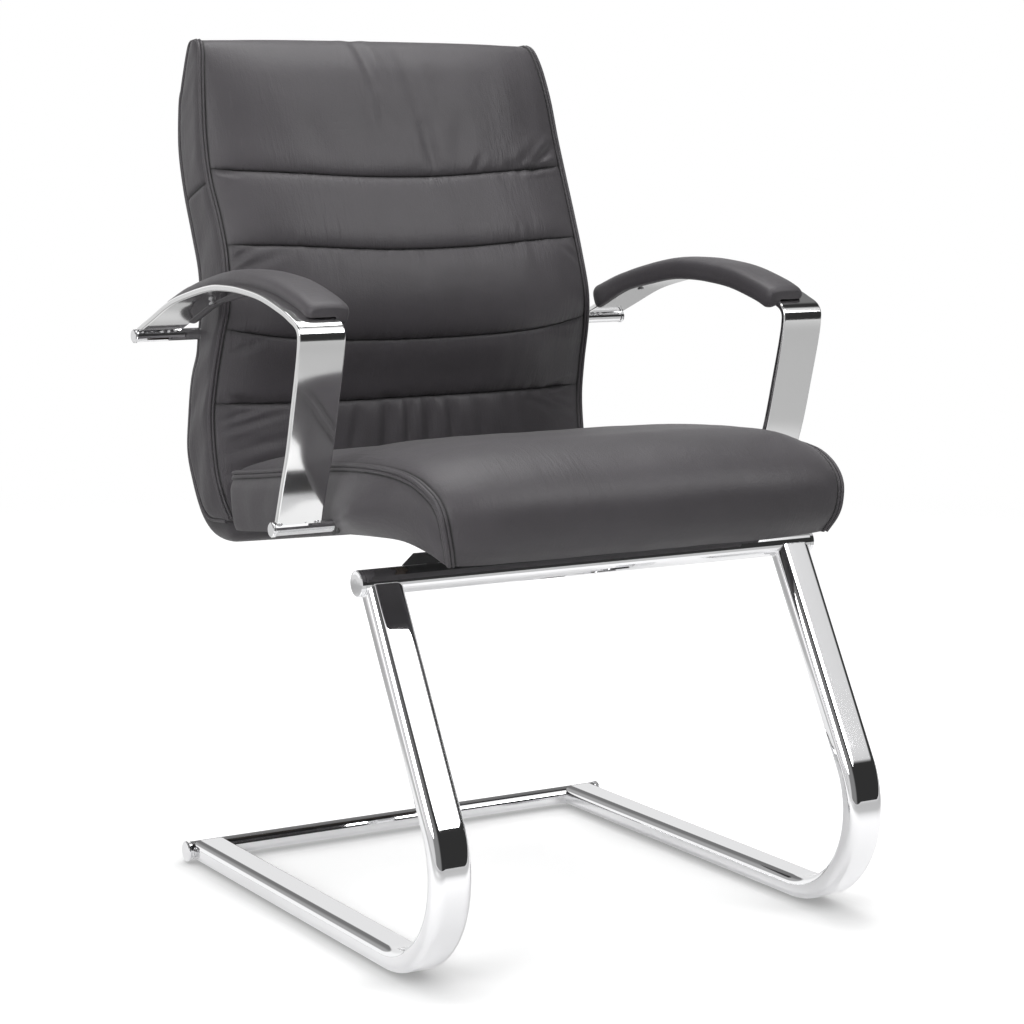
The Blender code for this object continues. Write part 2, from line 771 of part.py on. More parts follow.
def place_pad(side):
    def place(column, row, layer):
        across = pad_columns[column]
        fill = min(1, row / pad_rows / pad_taper_share)
        half_width = (pad_rear_width + (pad_front_width - pad_rear_width) * fill) / 2
        outer = arm_half_span - pad_rear_inset + (pad_rear_inset - pad_inset) * fill
        rise = pad_thickness * (pad_bottom_shares, pad_middle_shares, pad_top_shares)[layer][column]
        if layer == 0 and rise < 0:
            rise *= pad_rear_hang_share + (1 - pad_rear_hang_share) * fill
        reach = half_width * across
        if row in (0, pad_rows):
            reach *= pad_end_share
            rise *= pad_end_share
        ahead = pad_line[min(row + 1, pad_rows)] - pad_line[max(row - 1, 0)]
        up = Vector((ahead.y, -ahead.x)).normalized()
        spot = pad_line[row] + up * (rise + clearance)
        return (side * (outer - half_width + reach), spot.x, spot.y)
    return place


for side, word in ((-1, "right"), (1, "left")):
    strip_mesh = swept_mesh("arm_strip_" + word, strip_line, strip_width, strip_thickness, strip_edge, 1)
    strip = add_piece("arm_strip_" + word, strip_mesh, bright_metal, chair, (side * arm_centre, 0, 0))
    pad_mesh = lattice_mesh("arm_pad_" + word, (len(pad_columns) - 1, pad_rows, 2), place_pad(side))
    pad = add_piece("arm_pad_" + word, pad_mesh, leather, chair)
    subdivide(pad, 1)
    strip_room = add_cutter("strip_room_" + word, swept_mesh(
        "strip_room_" + word, strip_line, strip_width + 2 * clearance,
        strip_thickness + 2 * clearance, strip_edge, 1
    ), chair, (side * arm_centre, 0, 0))
    cut(pad, strip_room)
    for end, (y, z) in (("front", front_bar), ("rear", rear_bar)):
        tail = "_" + end + "_" + word
        bar_centre = side * (shell_half_width + clearance + bar_length / 2)
        bar_mesh = rod_mesh("arm_bar", arm_bar_radius, bar_length, small_round_steps)
        add_piece("arm_bar" + tail, bar_mesh, chrome, chair, (bar_centre, y, z))
        cap_place = (side * (arm_half_span + clearance), y, z)
        cap = add_piece("arm_cap" + tail, turned_mesh("arm_cap", cap_profile), chrome, chair, cap_place)
        cap.rotation_euler.y = side * math.pi / 2
        turn(cap, small_round_steps)
        room = add_cutter("arm_bar_room" + tail, rod_mesh(
            "arm_bar_room", arm_bar_radius + clearance, 2 * bar_length, small_round_steps
        ), chair, (bar_centre + side * bar_length / 2, y, z))
        cut(strip, room)
        if end == "front":
            cut(seat_cushion, room)
            collar_mesh = turned_mesh("arm_collar", collar_profile)
            collar_place = (side * (seat_half_width + clearance), y, z)
            collar = add_piece("arm_collar_" + word, collar_mesh, chrome, chair, collar_place)
            collar.rotation_euler.y = side * math.pi / 2
            turn(collar, small_round_steps)
        else:
            cut(back_cushion, room)
            cut(rear_panel, room)
    shank = strip_thickness + screw_engagement
    screw_profile = [
        (0, shank), (screw_radius, shank), (screw_radius, 0), (screw_head_radius, 0),
        (screw_head_radius, -screw_head_height), (0, -screw_head_height),
    ]
    for end, share in (("rear", screw_shares[0]), ("front", screw_shares[1])):
        index = next(i for i, point in enumerate(arch) if point.x < arm_front + arm_reach * (1 - share))
        ahead = arch[index + 1] - arch[index - 1]
        tilt = math.atan2(-ahead.y, -ahead.x)
        up = Vector((ahead.y, -ahead.x)).normalized()
        seat_point = arch[index] - up * (strip_thickness + clearance)
        place = (side * screw_line, seat_point.x, seat_point.y)
        screw_mesh = turned_mesh("arm_screw", screw_profile)
        screw = add_piece("arm_screw_" + end + "_" + word, screw_mesh, steel, chair, place)
        screw.rotation_euler.x = tilt
        turn(screw, small_round_steps)
        hole = add_cutter("screw_hole_" + end + "_" + word, rod_mesh(
            "screw_hole", screw_radius + clearance, 2 * (shank + clearance), small_round_steps, False
        ), chair, place)
        hole.rotation_euler.x = tilt
        cut(strip, hole)
        cut(pad, hole)
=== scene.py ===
import json
import math

import bmesh
import bpy
import numpy as np
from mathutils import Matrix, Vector, noise

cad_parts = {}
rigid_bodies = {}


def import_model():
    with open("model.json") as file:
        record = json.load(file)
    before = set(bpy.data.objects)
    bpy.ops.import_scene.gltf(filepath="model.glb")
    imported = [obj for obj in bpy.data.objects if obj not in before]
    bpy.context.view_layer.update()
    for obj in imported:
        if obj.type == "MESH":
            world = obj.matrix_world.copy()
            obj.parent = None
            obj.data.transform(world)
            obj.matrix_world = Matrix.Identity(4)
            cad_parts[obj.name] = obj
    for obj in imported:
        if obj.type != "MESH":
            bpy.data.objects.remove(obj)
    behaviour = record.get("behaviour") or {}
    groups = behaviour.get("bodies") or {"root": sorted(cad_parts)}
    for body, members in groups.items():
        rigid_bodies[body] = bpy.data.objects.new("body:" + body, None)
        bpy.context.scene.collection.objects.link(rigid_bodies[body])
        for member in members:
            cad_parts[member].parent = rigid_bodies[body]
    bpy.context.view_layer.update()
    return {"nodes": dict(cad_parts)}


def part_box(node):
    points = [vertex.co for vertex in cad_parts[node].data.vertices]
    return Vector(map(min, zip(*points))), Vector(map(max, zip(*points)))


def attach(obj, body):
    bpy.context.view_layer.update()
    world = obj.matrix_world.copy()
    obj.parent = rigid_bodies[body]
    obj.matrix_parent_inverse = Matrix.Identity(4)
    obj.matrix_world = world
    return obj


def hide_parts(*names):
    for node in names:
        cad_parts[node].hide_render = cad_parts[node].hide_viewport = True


for old in list(bpy.data.objects):
    bpy.data.objects.remove(old)
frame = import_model()
cad = frame["nodes"]
sides = {"left": 1, "right": -1}
print("frame loaded,", len(cad), "nodes")


def unit(values):
    return np.clip(values, 0, 1)


# Lines. A border line holds half width, depth and height of a cushion's edge, seen from the side

def smoothLine(points, steps=16):
    points = np.array(points, float)
    ends = np.vstack([2 * points[0] - points[1], points, 2 * points[-1] - points[-2]])
    t = np.linspace(0, 1, steps, endpoint=False)[:, None]
    runs = []
    for before, start, end, after in zip(ends, ends[1:], ends[2:], ends[3:]):
        pull = (end - before) * t + (2 * before - 5 * start + 4 * end - after) * t ** 2
        runs.append(start + (pull + (3 * start - before - 3 * end + after) * t ** 3) / 2)
    return np.vstack(runs + [points[-1:]])


def lineRun(line):
    return np.concatenate([[0], np.cumsum(np.linalg.norm(np.diff(line, axis=0), axis=1))])


def spread(line, shares, values=None):
    # The line's points, or values that belong to them, at shares of its length
    run = lineRun(line)
    columns = (line if values is None else values).T
    return np.stack([np.interp(shares * run[-1], run, column) for column in columns], axis=-1)


def sideNormals(line):
    ahead = np.gradient(line[:, -2:], axis=0)
    ahead /= np.linalg.norm(ahead, axis=1)[:, None]
    return np.stack([-ahead[:, 1], ahead[:, 0]], axis=1)


def normalsAt(line, shares):
    return spread(line, shares, sideNormals(line))


def shareAt(line, height):
    # Share of the line's length where it first passes a height
    index = int(np.argmax(line[:, -1] > height))
    return lineRun(line)[index] / lineRun(line)[-1]


def inBox(node, points):
    # Points in thousandths of a CAD node's box: half width, depth, height
    low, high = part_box(node)
    return np.array([
        (high.x * width, low.y + (high.y - low.y) * depth, low.z + (high.z - low.z) * rise)
        for width, depth, rise in np.array(points) / 1000
    ])


def crowded(count, power):
    # Steps from 0 to 1 that crowd at both ends
    t = np.linspace(-1, 1, count)
    return np.sign(t) * (1 - (1 - np.abs(t)) ** power) / 2 + 0.5


# Meshes

sharpAngle = math.radians(50)


def addPiece(name, points, faces, material, marks=None):
    mesh = bpy.data.meshes.new(name)
    mesh.from_pydata([tuple(point) for point in points], [], faces)
    build = bmesh.new()
    build.from_mesh(mesh)
    bmesh.ops.recalc_face_normals(build, faces=build.faces)
    build.to_mesh(mesh)
    build.free()
    for mark, values in (marks or {}).items():
        layer = mesh.attributes.new(mark, "FLOAT", "POINT")
        layer.data.foreach_set("value", np.array(values, np.float32).ravel())
    mesh.shade_smooth()
    mesh.set_sharp_from_angle(angle=sharpAngle)
    piece = bpy.data.objects.new(name, mesh)
    mesh.materials.append(material)
    bpy.context.scene.collection.objects.link(piece)
    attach(piece, "root")
    return piece


def ringFaces(rows, around, frontCount=0, sideCount=0):
    faces = []
    for row in range(rows - 1):
        for step in range(around):
            here, there = row * around + step, row * around + (step + 1) % around
            faces.append((here, there, there + around, here + around))
    if not frontCount:
        faces.append(tuple(range(around)))
        faces.append(tuple(range((rows - 1) * around, rows * around)))
        return faces
    # Front and rear of a cushion meet along its first and its last ring
    for base in (0, (rows - 1) * around):
        front = [base + step for step in range(frontCount)]
        rear = [base + 2 * frontCount + sideCount - 1 - step for step in range(frontCount)]
        for step in range(frontCount - 1):
            faces.append((front[step], front[step + 1], rear[step + 1], rear[step]))
        faces.append(tuple(range(front[-1], rear[-1] + 1)))
        faces.append((rear[0], *range(rear[0] + 1, base + around), front[0]))
    return faces


def faceOf(line, shares, columns, lift, outward):
    # One face of a cushion: its border line carried across and lifted along its normal
    place = spread(line, shares)
    normal = normalsAt(line, shares)
    across = place[..., 0] * columns
    depth = place[..., 1] + normal[..., 0] * lift * outward
    height = place[..., 2] + normal[..., 1] * lift * outward
    return np.stack([across, depth, height], axis=-1)


def cushion(name, front, rear, steps, sideLift, material, marks):
    # front and rear are grids of points over the same rows and columns, steps the shares over a side
    rows, columns = front.shape[:2]
    rings, markRings = [], {mark: [] for mark in marks}
    for row in range(rows):
        v = row / (rows - 1)
        left = front[row, -1] + (rear[row, -1] - front[row, -1]) * steps[:, None]
        right = rear[row, 0] + (front[row, 0] - rear[row, 0]) * steps[:, None]
        left[:, 0] += sideLift(v, steps)
        right[:, 0] -= sideLift(v, 1 - steps)
        rings.append(np.vstack([front[row], left, rear[row][::-1], right]))
        for mark, (onFront, onSide, onRear) in marks.items():
            markRings[mark].append(np.concatenate([
                onFront[row], onSide(v, steps), np.full(columns, onRear), onSide(v, 1 - steps)
            ]))
    faces = ringFaces(rows, len(rings[0]), columns, len(steps))
    return addPiece(name, np.vstack(rings), faces, material, markRings)


def tube(name, path, radius, material, around=12, swell=None, closed=False):
    # A round cord of leather, metal or weld along a path, with its section carried along
    path = np.array(path, float)
    ahead = np.gradient(path, axis=0)
    if closed:
        ahead = np.roll(path, -1, axis=0) - np.roll(path, 1, axis=0)
    ahead /= np.linalg.norm(ahead, axis=1)[:, None]
    # The first ring may start from any way that the path doesn't follow
    across = np.cross(ahead[0], (0.31, 0.22, 0.93))
    angles = np.arange(around)[:, None] * 2 * math.pi / around
    rings = []
    for index, (point, way) in enumerate(zip(path, ahead)):
        across -= way * np.dot(across, way)
        across /= np.linalg.norm(across)
        other = np.cross(way, across)
        reach = radius * (swell(index / (len(path) - 1)) if swell else 1)
        rings.append(point + reach * (np.cos(angles) * across + np.sin(angles) * other))
    faces = ringFaces(len(rings), around)
    if closed:
        # Its last ring joins its first, so the two end faces go
        faces = faces[:-2]
        last = (len(rings) - 1) * around
        for step in range(around):
            after = (step + 1) % around
            faces.append((last + step, last + after, after, step))
    return addPiece(name, np.vstack(rings), faces, material)


def strokes(across, along, lines):
    # Creases in leather: each is a line with a width and a depth, with soft ridges beside it
    lift = np.zeros(np.broadcast(across, along).shape)
    for x0, s0, x1, s1, width, depth in lines:
        runX, runS = x1 - x0, s1 - s0
        t = unit(((across - x0) * runX + (along - s0) * runS) / (runX ** 2 + runS ** 2))
        gap = np.hypot(across - x0 - runX * t, along - s0 - runS * t) / width
        fade = np.sin(math.pi * (0.12 + 0.76 * t))
        lift += depth * fade * (0.45 * np.exp(-(gap - 2) ** 2) - np.exp(-gap ** 2))
    return lift


def ripples(across, along, wave):
    # Waves of stuffed leather. A wave is its depth, size, stretch up the border, and seed
    depth, size, stretch, seed = wave
    spots = zip(np.ravel(across) / size, np.ravel(along) / stretch / size)
    values = [noise.noise(Vector((x, s, seed))) for x, s in spots]
    return depth * np.array(values).reshape(np.shape(across))


# Shader maths: a socket that takes part in sums

class Wire:
    def __init__(self, paint, socket):
        self.paint = paint
        self.socket = socket

    def maths(self, operation, first, second):
        return self.paint.node("ShaderNodeMath", {"operation": operation}, {0: first, 1: second})

    def __add__(self, other):
        return self.maths("ADD", self, other)

    def __radd__(self, other):
        return self.maths("ADD", other, self)

    def __sub__(self, other):
        return self.maths("SUBTRACT", self, other)

    def __rsub__(self, other):
        return self.maths("SUBTRACT", other, self)

    def __mul__(self, other):
        return self.maths("MULTIPLY", self, other)

    def __rmul__(self, other):
        return self.maths("MULTIPLY", other, self)

    def __pow__(self, other):
        return self.maths("POWER", self, other)

    def __rpow__(self, other):
        return self.maths("POWER", other, self)


class Paint:
    def __init__(self, tree):
        self.tree = tree
        tree.nodes.clear()

    def node(self, kind, settings=None, values=None, output=0):
        made = self.tree.nodes.new(kind)
        for setting, value in (settings or {}).items():
            if setting == "stops":
                self.setStops(made.color_ramp, value)
            else:
                setattr(made, setting, value)
        for place, value in (values or {}).items():
            if isinstance(value, Wire):
                self.tree.links.new(value.socket, made.inputs[place])
            else:
                made.inputs[place].default_value = value
        return Wire(self, made.outputs[output])

    def setStops(self, ramp, stops):
        while len(ramp.elements) < len(stops):
            ramp.elements.new(0.5)
        for element, (place, tone) in zip(ramp.elements, stops):
            element.position = place
            element.color = (tone, tone, tone, 1)

    def mix(self, share, first, second):
        return self.node("ShaderNodeMix", {"data_type": "RGBA"}, {0: share, 6: first, 7: second}, 2)

    def ramp(self, value, *stops):
        return self.node("ShaderNodeValToRGB", {"stops": stops}, {0: value})

    def mark(self, name):
        return self.node("ShaderNodeAttribute", {"attribute_name": name}, output=2)

    def ray(self, kind):
        return self.node("ShaderNodeLightPath", output="Is " + kind + " Ray")

    def place(self):
        return self.node("ShaderNodeTexCoord", output=3)

    def stretched(self, place, scale):
        return self.node("ShaderNodeVectorMath", {"operation": "MULTIPLY"}, {0: place, 1: scale})

    def softStep(self, value, edges):
        return self.node("ShaderNodeMapRange", {"interpolation_type": "SMOOTHSTEP"}, {
            "Value": value, "From Min": edges[0], "From Max": edges[1],
        })

    def clouds(self, place, scale, detail=2, rough=0.5):
        return self.node("ShaderNodeTexNoise", values={
            "Vector": place, "Scale": scale, "Detail": detail, "Roughness": rough,
        })

    def cells(self, place, scale, feature="F1"):
        return self.node("ShaderNodeTexVoronoi", {"feature": feature}, {"Vector": place, "Scale": scale})

    def laid(self, first, second):
        # A flat place made of two marks
        return self.node("ShaderNodeCombineXYZ", values={0: self.mark(first), 1: self.mark(second)})

    def glow(self, strength):
        return self.node("ShaderNodeEmission", values={"Strength": strength})

    def mixShader(self, share, first, second):
        return self.node("ShaderNodeMixShader", values={0: share, 1: first, 2: second})

    def finish(self, surface, kind="ShaderNodeOutputMaterial"):
        end = self.tree.nodes.new(kind)
        self.tree.links.new(surface.socket, end.inputs["Surface"])

    def skin(self, colour, roughness, height, **more):
        bump = self.node("ShaderNodeBump", values={"Strength": 1.0, "Distance": 1.0, "Height": height})
        values = {"Base Color": colour, "Roughness": roughness, "Normal": bump, **more}
        self.finish(self.node("ShaderNodeBsdfPrincipled", values=values))


def newPaint(name):
    material = bpy.data.materials.new(name)
    material.use_nodes = True
    return material, Paint(material.node_tree)


# Leather
leatherLook = {
    "dark": (0.047, 0.043, 0.0475, 1), "light": (0.076, 0.070, 0.077, 1), "mottleScale": 9,
    "sewn": (0.012, 0.012, 0.012, 1),
    "roughness": 0.40, "mottleRough": 0.12, "poreRough": 0.08, "sewnRough": 0.12,
    "sheen": 0.08, "sheenRoughness": 0.45, "ior": 1.48,
    "poreScale": 950, "poreDepth": 0.00007, "swirlScale": 70, "swirl": 0.004,
    "creaseScale": 210, "creaseWidth": 0.10, "creaseDepth": 0.00005,
    "grainScale": 420, "grainDepth": 0.00012, "waveScale": 26, "waveDepth": 0.0008,
    # Wrinkles are scaled across, up the border, and not at all in the third direction
    "wrinkleScale": (75, 13, 1), "wrinkleDepth": 0.00016, "pulledDepth": 0.00034,
    "threadScale": (150, 22, 1), "threadDepth": 0.00018, "patchScale": (9, 7, 1), "patchEdges": (0.42, 0.66),
}


def ridges(paint, cloud):
    # Sharp creases along the middle value of a cloud
    offset = paint.node("ShaderNodeMath", {"operation": "ABSOLUTE"}, {0: cloud - 0.5})
    return (1 - 5 * offset) ** 3


def makeLeather(name, look):
    material, paint = newPaint(name)
    place = paint.place()
    swirl = paint.stretched(paint.clouds(place, look["swirlScale"]), (look["swirl"],) * 3)
    bent = paint.node("ShaderNodeVectorMath", {"operation": "ADD"}, {0: place, 1: swirl})
    pores = paint.cells(bent, look["poreScale"])
    creases = paint.cells(bent, look["creaseScale"], "DISTANCE_TO_EDGE")
    net = paint.ramp(creases, (0.0, 0.0), (look["creaseWidth"], 1.0))
    mottle = paint.clouds(place, look["mottleScale"], 4, 0.6)
    grain = paint.clouds(place, look["grainScale"], 3, 0.6)
    waves = paint.clouds(place, look["waveScale"], 3, 0.55)
    # Dark lines at the seams: partly stitches, partly painted shade in the seam grooves
    sewn = paint.mark("sewn")
    hide = paint.mix(mottle, look["dark"], look["light"])
    rough = look["roughness"] + look["mottleRough"] * mottle + look["poreRough"] * pores
    # Fine wrinkles run square to the seams, closer together where the thread pulls
    laid = paint.laid("across", "along")
    pull = paint.mark("pull")
    wrinkles = ridges(paint, paint.clouds(paint.stretched(laid, look["wrinkleScale"]), 1, 3, 0.55))
    threads = ridges(paint, paint.clouds(paint.stretched(laid, look["threadScale"]), 1, 2, 0.5))
    patchFrom, patchTo = look["patchEdges"]
    patches = paint.clouds(paint.stretched(laid, look["patchScale"]), 1, 2)
    patches = paint.ramp(patches, (patchFrom, 0.0), (patchTo, 1.0))
    fine = (look["wrinkleDepth"] + look["pulledDepth"] * pull) * wrinkles * patches
    height = look["poreDepth"] * pores + look["creaseDepth"] * net + look["grainDepth"] * grain
    height += look["waveDepth"] * waves + fine + look["threadDepth"] * pull * threads
    paint.skin(paint.mix(sewn, hide, look["sewn"]), rough + look["sewnRough"] * sewn, height, **{
        "Sheen Weight": look["sheen"], "Sheen Roughness": look["sheenRoughness"], "IOR": look["ior"],
    })
    return material


# Chrome, polished strip, plastic, plywood, cloth and plain steel
chromeLook = {
    "colour": (0.84, 0.84, 0.85, 1), "roughness": 0.03, "smearScale": 14, "smearRough": 0.03,
    "waveScale": 22, "wave": 0.00003, "gritScale": 900, "grit": 0.0000012,
}
stripLook = {
    "colour": (0.80, 0.80, 0.80, 1), "roughness": 0.045, "smearScale": 18, "smearRough": 0.04,
    "lineScale": (9, 1500, 1), "lineRough": 0.07, "scratch": 0.0000025,
}
plywoodLook = {
    "dark": (0.030, 0.022, 0.016, 1), "light": (0.060, 0.044, 0.032, 1), "grainStretch": (40, 3, 3),
    "grainScale": 6, "grainDepth": 0.0001, "plyScale": 160, "roughness": 0.55, "plyRough": 0.2,
}
clothLook = {
    "dark": (0.012, 0.012, 0.012, 1), "light": (0.035, 0.035, 0.036, 1), "feltScale": 1400,
    "feltDepth": 0.0001, "dotScale": 420, "dotDepth": 0.0002, "roughness": 0.85, "feltRough": 0.1,
}
plainLooks = {
    # colour, roughness, metallic, grain scale, grain depth
    "black_plastic": ((0.022, 0.022, 0.022, 1), 0.42, 0.0, 600, 0.00004),
    "screw_steel": ((0.62, 0.62, 0.63, 1), 0.22, 1.0, 300, 0.00001),
    "weld_metal": ((0.72, 0.72, 0.73, 1), 0.16, 1.0, 220, 0.0002),
    "collar_steel": ((0.10, 0.10, 0.10, 1), 0.34, 1.0, 300, 0.00001),
}


def makeChrome(name, look):
    material, paint = newPaint(name)
    place = paint.place()
    smears = paint.clouds(place, look["smearScale"], 4, 0.65)
    waves = paint.clouds(place, look["waveScale"], 1)
    grit = paint.clouds(place, look["gritScale"])
    rough = look["roughness"] + look["smearRough"] * smears ** 3
    paint.skin(look["colour"], rough, look["wave"] * waves + look["grit"] * grit, Metallic=1.0)
    return material


def makeStrip(name, look):
    # Polished with the length of the strip, so the fine lines follow its own run
    material, paint = newPaint(name)
    lines = paint.clouds(paint.stretched(paint.laid("along", "across"), look["lineScale"]), 1, 3, 0.7)
    smears = paint.clouds(paint.place(), look["smearScale"], 3, 0.6)
    rough = look["roughness"] + look["lineRough"] * lines + look["smearRough"] * smears
    paint.skin(look["colour"], rough, look["scratch"] * lines, Metallic=1.0)
    return material


def makePlain(name, colour, roughness, metallic, grainScale, grainDepth):
    material, paint = newPaint(name)
    grain = paint.clouds(paint.place(), grainScale, 3, 0.6)
    darker = tuple(0.75 * part for part in colour[:3]) + (1,)
    colour = paint.mix(grain, darker, colour)
    paint.skin(colour, roughness + 0.12 * grain, grainDepth * grain, Metallic=metallic)
    return material


def makePlywood(name, look):
    material, paint = newPaint(name)
    place = paint.place()
    grain = paint.clouds(paint.stretched(place, look["grainStretch"]), look["grainScale"], 5, 0.6)
    plies = paint.node("ShaderNodeTexWave", {"wave_type": "BANDS"}, {
        "Vector": place, "Scale": look["plyScale"], "Distortion": 1.5,
    })
    colour = paint.mix(grain, look["dark"], look["light"])
    paint.skin(colour, look["roughness"] + look["plyRough"] * plies, look["grainDepth"] * grain)
    return material


def makeCloth(name, look):
    material, paint = newPaint(name)
    place = paint.place()
    felt = paint.clouds(place, look["feltScale"], 3, 0.7)
    dots = paint.cells(place, look["dotScale"])
    height = look["dotDepth"] * dots + look["feltDepth"] * felt
    colour = paint.mix(felt, look["dark"], look["light"])
    paint.skin(colour, look["roughness"] + look["feltRough"] * felt, height)
    return material


leather = makeLeather("leather", leatherLook)
chrome = makeChrome("chrome", chromeLook)
armMetal = makeStrip("arm_metal", stripLook)
blackPlastic, screwSteel, weldMetal, collarSteel = [
    makePlain(name, *look) for name, look in plainLooks.items()
]
plywood = makePlywood("plywood", plywoodLook)
dustCloth = makeCloth("dust_cloth", clothLook)
print("finishes made")


# CAD pieces that keep their shape
finishes = {
    "front_cross_tube": chrome, "rear_floor_bar": chrome, "front_tube_cap": chrome, "rear_bar_cap": chrome,
    "mounting_pan": chrome, "arm_bar": chrome, "arm_cap": chrome, "arm_collar": collarSteel,
    "seat_and_back_shell": plywood, "dust_cover": dustCloth, "seat_spacer": blackPlastic,
    "floor_glide": blackPlastic, "seat_bolt": screwSteel, "arm_screw": screwSteel,
}
for nodeName, node in cad.items():
    for start, material in finishes.items():
        if nodeName.startswith(start):
            node.data.materials.clear()
            node.data.materials.append(material)


# Side tubes: leg, floor bend and rail, swept with a round-cornered section
sideTube = {
    "width": 0.045, "thickness": 0.025, "corner": 0.0105, "cornerSteps": 8,
    "legTilt": math.radians(29.6), "bendRadius": 0.1075, "railSetback": 0.006,
    "straightSteps": 12, "bendSteps": 60,
}
# The bead is finer on the leg's front, from a share of its round on
legWeld = {"radius": 0.0012, "around": 8, "fineFrom": 0.55, "fine": 0.4}
crossLow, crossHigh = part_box("front_cross_tube")
barLow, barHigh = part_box("rear_floor_bar")
crossAxis = (crossLow + crossHigh) / 2
barAxis = (barLow + barHigh) / 2
crossRadius = (crossHigh.z - crossLow.z) / 2


def roundedSection(dims):
    # A point just before and after each corner keeps the flats flat in the shading
    corner, steps = dims["corner"], dims["cornerSteps"]
    tuck = 0.12 * corner
    outline = []
    for turn, (sideX, sideY) in enumerate(((1, 1), (-1, 1), (-1, -1), (1, -1))):
        centre = np.array([sideX * (dims["width"] / 2 - corner), sideY * (dims["thickness"] / 2 - corner)])
        for step in range(-1, steps + 2):
            angle = (turn + min(max(step, 0), steps) / steps) * math.pi / 2
            way = np.array([math.cos(angle), math.sin(angle)])
            inward = tuck * ((step < 0) - (step > steps))
            outline.append(centre + corner * way + inward * np.array([way[1], -way[0]]))
    return np.array(outline)


def sweep(name, path, section, centre, material, marks=False):
    # path holds depth and height, section holds across and outward
    rings = []
    for point, normal in zip(path, sideNormals(path)):
        rings.append(np.column_stack([centre + section[:, 0], point + section[:, 1:] * normal]))
    layers = None
    if marks:
        layers = {
            "along": np.repeat(lineRun(path), len(section)),
            "across": np.tile(section[:, 0], len(path)),
        }
    faces = ringFaces(len(rings), len(section))
    return addPiece(name, np.vstack(rings), faces, material, layers)


def tubePath(dims):
    tilt, radius, steps = dims["legTilt"], dims["bendRadius"], dims["straightSteps"]
    rise = barAxis.z - crossAxis.z + radius
    middle = ((rise * math.sin(tilt) + radius) / math.cos(tilt), rise)
    angles = np.linspace(math.pi - tilt, 3 * math.pi / 2, dims["bendSteps"])
    bend = np.column_stack([middle[0] + radius * np.cos(angles), middle[1] + radius * np.sin(angles)])
    bend += (crossAxis.y, crossAxis.z)
    leg = np.linspace((crossAxis.y, crossAxis.z), bend[0], steps, endpoint=False)
    rail = np.linspace(bend[-1], (barAxis.y - dims["railSetback"], barAxis.z), steps + 1)[1:]
    return np.vstack([leg, bend, rail])


def legSwell(t):
    return legWeld["fine"] if t > legWeld["fineFrom"] else 1


tubeLine = tubePath(sideTube)
tubeSection = roundedSection(sideTube)
tubeCentre = crossHigh.x - sideTube["width"] / 2
legWay = tubeLine[1] - tubeLine[0]
legWay /= np.linalg.norm(legWay)
legOut = np.array([-legWay[1], legWay[0]])
for word, side in sides.items():
    piece = sweep("side_tube_bent_" + word, tubeLine, tubeSection, side * tubeCentre, chrome)
    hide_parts("side_tube_" + word)
    # Weld bead where the leg's end meets the round tube
    bead = []
    for across, out in tubeSection:
        reach = math.sqrt(max(0, crossRadius ** 2 - out ** 2))
        depth, height = reach * legWay + out * legOut
        bead.append((side * tubeCentre + across, crossAxis.y + depth, crossAxis.z + height))
    radius, around = legWeld["radius"], legWeld["around"]
    tube("leg_weld_" + word, bead, radius, chrome, around, legSwell, closed=True)
print("frame tubes made")


# Arms: flat strips bent over in an arch, with welds on their bars
armStrip = {
    "width": 0.053, "thickness": 0.007, "corner": 0.0016, "cornerSteps": 3, "archSteps": 12,
    # Depth and height of the outer face in thousandths of the strip's box, from the rear to the front
    "arch": (
        (1010, 752), (920, 812), (784, 901), (648, 956), (522, 992), (426, 1000), (339, 996), (222, 976),
        (108, 931), (54, 900), (19, 874), (2, 835), (2, 777), (14, 680), (40, 515), (72, 320), (106, 165),
        (145, -19),
    ),
}
armWeld = {
    "radius": 0.0021, "steps": 60, "around": 10, "wander": 0.06, "thinnest": 0.45, "endShare": 1 / 12,
    "beads": {
        # bar, start and end over the strip's width, lumps, place on the bar's section in radii
        "front_outer": ("front", 0.0, 0.15, 2, (-0.60, 0.90)),
        "front_inner": ("front", 0.60, 1.0, 3, (-0.60, 0.90)),
        "rear": ("rear", 0.03, 0.97, 3, (-0.82, 0.74)),
    },
}
stripLow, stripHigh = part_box("arm_strip_left")
archLine = inBox("arm_strip_left", [(0, depth, rise) for depth, rise in armStrip["arch"]])[:, 1:]
archLine = smoothLine(archLine, armStrip["archSteps"])
stripSection = roundedSection(armStrip)
# The arch is the strip's outer face, so its middle line lies half a thickness inside
stripLine = archLine + sideNormals(archLine) * armStrip["thickness"] / 2
stripCentre = stripHigh.x - armStrip["width"] / 2


def weldBead(name, bar, side, start, end, lumps, spot):
    # Lumpy bead on a bar, along the strip's end
    low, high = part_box(bar)
    middle, radius = (low + high) / 2, (high.z - low.z) / 2
    path = []
    for t in np.linspace(0, 1, armWeld["steps"]):
        x = side * (stripHigh.x - armStrip["width"] * (start + (end - start) * t))
        wander = armWeld["wander"] * math.sin(31 * t)
        path.append((x, middle.y + radius * (spot[0] + wander), middle.z + radius * spot[1]))

    def swell(t):
        lump = abs(math.sin(lumps * math.pi * t + 1.7 * math.sin(9 * t)))
        toEnd = min(t, 1 - t) / armWeld["endShare"]
        return (armWeld["thinnest"] + (1 - armWeld["thinnest"]) * lump) * min(1, toEnd + 0.1)

    tube(name, path, armWeld["radius"], weldMetal, armWeld["around"], swell)


for word, side in sides.items():
    centre = side * stripCentre
    strip = sweep("arm_strip_bent_" + word, stripLine, stripSection, centre, armMetal, True)
    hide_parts("arm_strip_" + word)
    for spotName, (bar, *bead) in armWeld["beads"].items():
        weldBead("arm_weld_" + spotName + "_" + word, "arm_bar_" + bar + "_" + word, side, *bead)
print("arms made")


